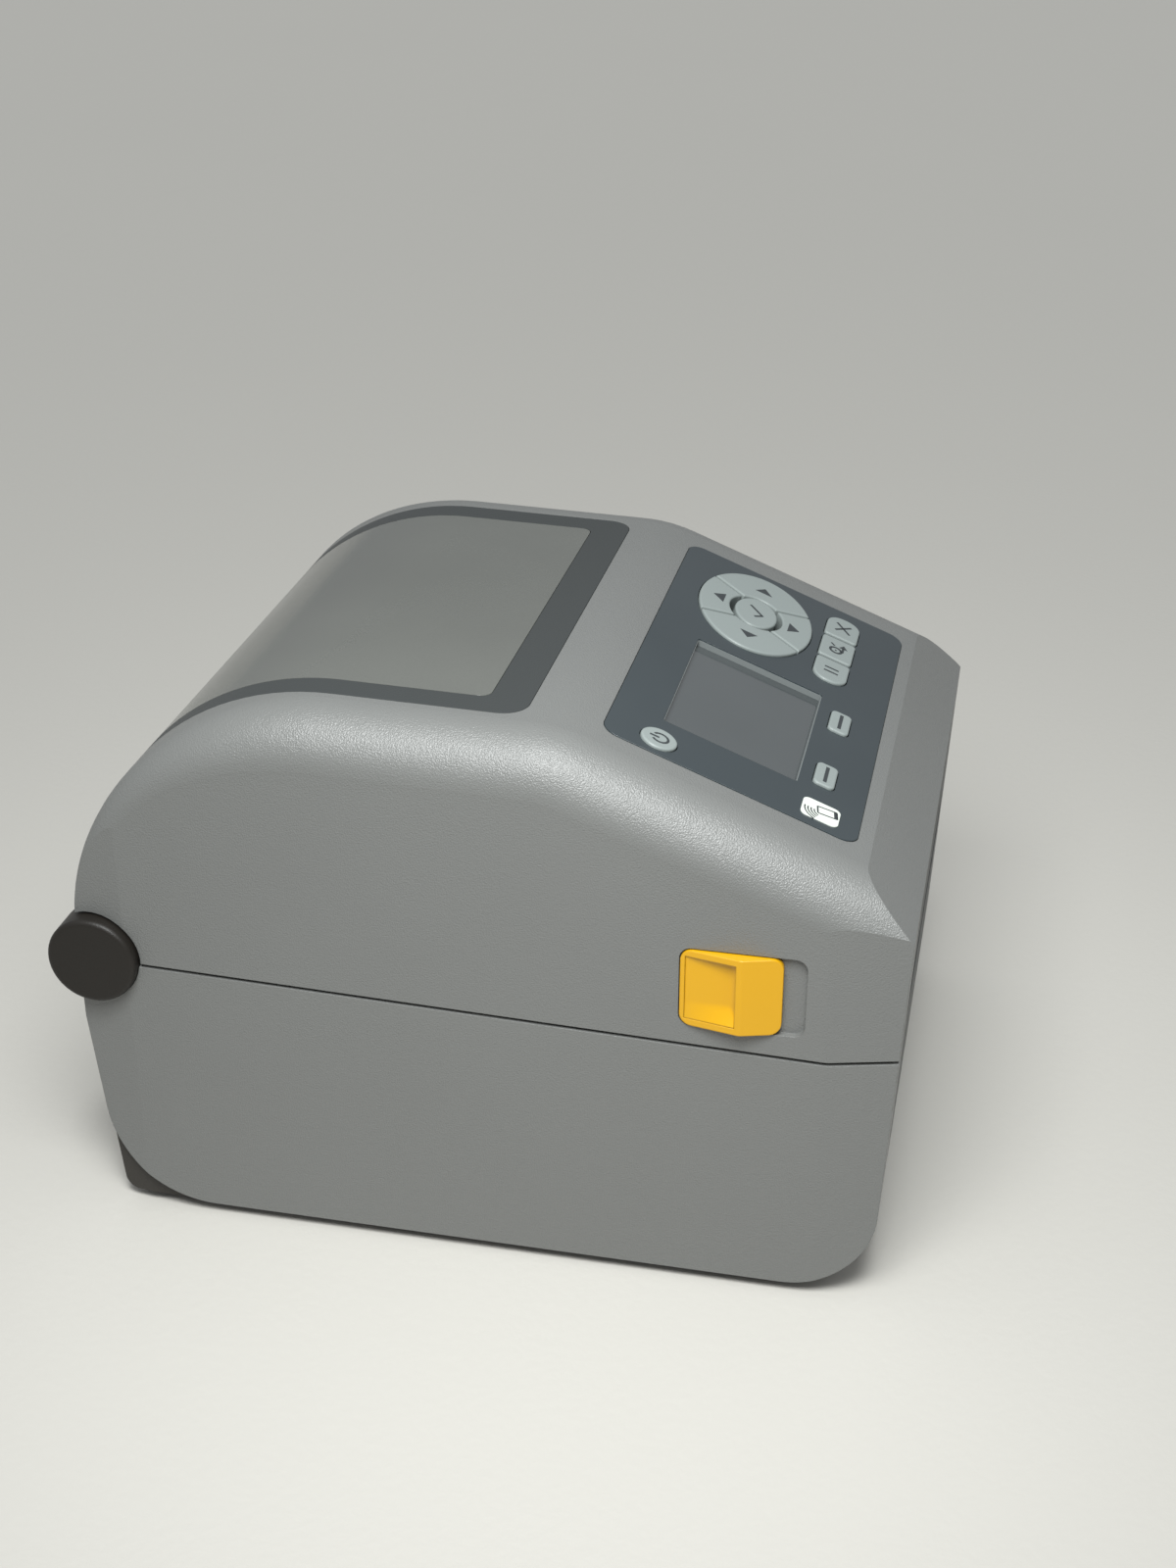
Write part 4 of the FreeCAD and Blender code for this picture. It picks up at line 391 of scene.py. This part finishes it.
# Pale lining on the walls round the display, from the glass up to just under the fascia's face
low, high = panel_box("lcd_display")
border = 2.0 * MM           # of the glass, under the edge of the fascia
thick = 0.25 * MM
under_face = 0.35 * MM
face = panel_box("control_panel")[1].z - under_face
left, right = low.x + border, high.x - border
bottom, top = low.y + border, high.y - border
ring_out = [(left, bottom), (right, bottom), (right, top), (left, top)]
ring_in = [(left + thick, bottom + thick), (right - thick, bottom + thick),
           (right - thick, top - thick), (left + thick, top - thick)]
verts = [from_panel @ Vector((x, y, z))
         for z in (high.z, face) for ring in (ring_out, ring_in) for x, y in ring]
faces = []
for index in range(4):
    following = (index + 1) % 4
    faces.append([index, following, following + 8, index + 8])
    faces.append([following + 4, index + 4, index + 12, following + 12])
    faces.append([index + 8, following + 8, following + 12, index + 12])
    faces.append([following, index, index + 4, following + 4])
lining_grey = surface("lining_grey", (0.16, 0.175, 0.175), 0.35, grain=0.05, edge=0.05)
new_piece("screen_lining", verts, faces, lining_grey, "cover")

# ---------------------------------------------------------------- soft dish in each latch
PROBE = 0.05 * MM           # step of the walk that finds the hollow's edges
JUMP = 0.25 * MM            # change between two steps that counts as an edge
WALK_END = 40 * MM
RAY_START = 0.12            # metres from the middle plane, outside the case
DISH_INSET = 0.03 * MM      # from the hollow's walls
DISH_STEPS = 24
DISH_FLOOR = 0.42           # level of the flat part, as a share of the hollow's depth
DISH_RAMP = 0.75            # share of the height over which it climbs to the lower lip
DISH_FULL = 0.97            # of the depth, where it meets the lower lip
COVE_SHARE = 0.12           # of the width or height that the coves under the top and front walls take
COVE_RISE = 0.35
DISH_SKIN = 0.02 * MM       # over the hollow's own floor
DISH_ROOT = 0.3 * MM        # into the latch
DISH_SHARP = 40             # degrees


def latch_dish(name, node, body, side):
    """Curved bottom for a latch's finger hollow, found on the CAD node by rays from outside."""
    skin = skin_of(node)

    def reach(y, z):
        """How far the latch's outer face is from the middle plane at a place on the side."""
        hit = skin.ray_cast(Vector((side * RAY_START, y, z)), Vector((-side, 0, 0)))[0]
        return abs(hit.x) if hit else 0.0

    def edge(y, z, dy, dz, sense):
        """Walk until the face jumps, out (1) or in (-1), and return how far that is."""
        away = 0.0
        before = reach(y, z)
        while away < WALK_END:
            away += PROBE
            here = reach(y + dy * away, z + dz * away)
            if (here - before) * sense > JUMP:
                return away
            before = here
        return away

    points = [vertex.co for vertex in frame["nodes"][node].data.vertices]
    ridge = max(points, key=lambda point: abs(point.x))
    tops = [point.z for point in points if abs(abs(point.x) - abs(ridge.x)) < PROBE]
    middle_z = (min(tops) + max(tops)) / 2
    front = ridge.y + edge(ridge.y, middle_z, 1, 0, -1)
    rear = front + 1 * MM + edge(front + 1 * MM, middle_z, 1, 0, 1)
    middle_y = (front + rear) / 2
    low = middle_z - edge(middle_y, middle_z, 0, -1, 1)
    high = middle_z + edge(middle_y, middle_z, 0, 1, 1)

    # A walk overshoots by up to one step, so the dish keeps that and its inset clear of the walls
    front, rear = front + DISH_INSET, rear - DISH_INSET - PROBE
    low, high = low + DISH_INSET + PROBE, high - DISH_INSET - PROBE
    lip_front = reach(front - 4 * PROBE, middle_z)
    lip_rear = reach(rear + 4 * PROBE, middle_z)
    floor_front = reach(front + 2 * PROBE, middle_z)
    floor_rear = reach(rear - 2 * PROBE, middle_z)

    def dish(u, w):
        """Rise from the hollow's floor (0) to its lip (1); u runs rearward and w up."""
        ramp = max(0.0, 1 - w / DISH_RAMP) ** 2
        cove = max(0.0, (w - 1 + COVE_SHARE) / COVE_SHARE) ** 2 + max(0.0, 1 - u / COVE_SHARE) ** 2
        return max(ramp, DISH_FLOOR + (1 - DISH_FLOOR) * COVE_RISE * min(1.0, cove))

    verts = []
    for outer in (False, True):
        for row in range(DISH_STEPS + 1):
            w = row / DISH_STEPS
            for column in range(DISH_STEPS + 1):
                u = column / DISH_STEPS
                ground = floor_front + (floor_rear - floor_front) * u
                lip = lip_front + (lip_rear - lip_front) * u
                height = ground - DISH_ROOT
                if outer:
                    height = ground + (lip - ground) * DISH_FULL * dish(u, w) + DISH_SKIN
                verts.append((side * height, front + (rear - front) * u, low + (high - low) * w))

    stride = DISH_STEPS + 1
    layer = stride * stride
    faces = []
    for row in range(DISH_STEPS):
        for column in range(DISH_STEPS):
            a = row * stride + column
            b = a + layer
            faces.append([a, a + 1, a + 1 + stride, a + stride])
            faces.append([b, b + stride, b + 1 + stride, b + 1])
    rim = [column for column in range(DISH_STEPS)]
    rim += [row * stride + DISH_STEPS for row in range(DISH_STEPS)]
    rim += [DISH_STEPS * stride + column for column in range(DISH_STEPS, 0, -1)]
    rim += [row * stride for row in range(DISH_STEPS, 0, -1)]
    for first, second in zip(rim, rim[1:] + rim[:1]):
        faces.append([second, first, first + layer, second + layer])
    if side > 0:
        faces = [face[::-1] for face in faces]
    mesh = new_piece(name, verts, faces, latch_yellow, body).data
    mesh.shade_smooth()
    mesh.set_sharp_from_angle(angle=math.radians(DISH_SHARP))


for side, word in ((-1, "left"), (1, "right")):
    latch_dish("latch_dish_" + word, "latch_" + word, "latch_" + word + "_slider", side)

# ---------------------------------------------------------------- stage
FLOOR_REACH = 12.0
floor_mesh = bpy.data.meshes.new("floor")
floor_mesh.from_pydata([(-FLOOR_REACH, -FLOOR_REACH, 0), (FLOOR_REACH, -FLOOR_REACH, 0),
                        (FLOOR_REACH, FLOOR_REACH, 0), (-FLOOR_REACH, FLOOR_REACH, 0)],
                       [], [(0, 1, 2, 3)])
floor_paper = surface("floor_paper", (0.50, 0.485, 0.45), 0.75, grain=0.05, grain_size=3.0,
                      mottle=0.01, mottle_size=2.0)
floor_mesh.materials.append(floor_paper)
floor = bpy.data.objects.new("floor", floor_mesh)
bpy.context.scene.collection.objects.link(floor)

# A room that is dimmer at eye level than overhead
EYE_LEVEL = (0.46, 0.475, 0.49, 1)
OVERHEAD = (0.95, 0.98, 1.0, 1)
OVERHEAD_FROM = 0.9         # height on the sky's unit sphere
ROOM_LIGHT = 0.62
world = bpy.data.worlds.new("studio")
world.use_nodes = True
sky = world.node_tree
heading = add(sky, "ShaderNodeTexCoord")
parts = add(sky, "ShaderNodeSeparateXYZ")
climb = add(sky, "ShaderNodeMapRange")
climb.inputs["From Min"].default_value = 0.0
climb.inputs["From Max"].default_value = OVERHEAD_FROM
tint = add(sky, "ShaderNodeMix", data_type="RGBA")
tint.inputs[MIX_A].default_value = EYE_LEVEL
tint.inputs[MIX_B].default_value = OVERHEAD
sky.links.new(heading.outputs["Generated"], parts.inputs[0])
sky.links.new(parts.outputs["Z"], climb.inputs["Value"])
sky.links.new(climb.outputs["Result"], tint.inputs[0])
sky.links.new(tint.outputs[MIX_OUT], sky.nodes["Background"].inputs["Color"])
sky.nodes["Background"].inputs["Strength"].default_value = ROOM_LIGHT
bpy.context.scene.world = world
bpy.context.scene.view_settings.view_transform = "Standard"


def place_light(name, kind, direction, power, colour):
    """New light that shines along a direction."""
    data = bpy.data.lights.new(name, kind)
    data.energy = power
    data.color = colour
    made = bpy.data.objects.new(name, data)
    made.rotation_euler = direction.to_track_quat("-Z", "Y").to_euler()
    bpy.context.scene.collection.objects.link(made)
    return made


# A soft square lamp over the latch side, and a distant light that lays the gleam along the shoulder
middle = (Vector(cad_low) + Vector(cad_high)) / 2
key_from = middle + Vector((-0.31, -0.05, 0.38))
key_aim = middle + Vector((-0.088, -0.03, 0.05))
key = place_light("key", "AREA", key_aim - key_from, 0.80, (0.98, 1.0, 0.995))
key.location = key_from
key.data.size = 0.22
key.data.spread = math.radians(95)
gleam = place_light("gleam", "SUN", Vector((0.40, 0.10, -0.91)), 1.2, (0.97, 1.0, 1.0))
gleam.data.angle = math.radians(14)

# ---------------------------------------------------------------- camera
# Lens, place and directions come from fitting the case's outline and features to the photograph
camera_data = bpy.data.cameras.new("camera")
camera_data.sensor_width = 36.0
camera_data.lens = 51.17
camera_data.clip_start = 0.01
camera = bpy.data.objects.new("camera", camera_data)
look = Vector((0.873067, 0.186721, -0.450432)).normalized()
rightward = Vector((0.210014, -0.977697, 0.001775))
rightward = (rightward - look * rightward.dot(look)).normalized()
turn = Matrix((rightward, rightward.cross(look), -look)).transposed().to_4x4()
camera.matrix_world = Matrix.Translation(Vector((-0.54227, -0.12957, 0.37726))) @ turn
bpy.context.scene.collection.objects.link(camera)
bpy.context.scene.camera = camera

SHARP = 28                  # degrees between faces, from which an edge of a CAD node stays sharp
for node in frame["nodes"].values():
    node.data.shade_smooth()
    node.data.set_sharp_from_angle(angle=math.radians(SHARP))
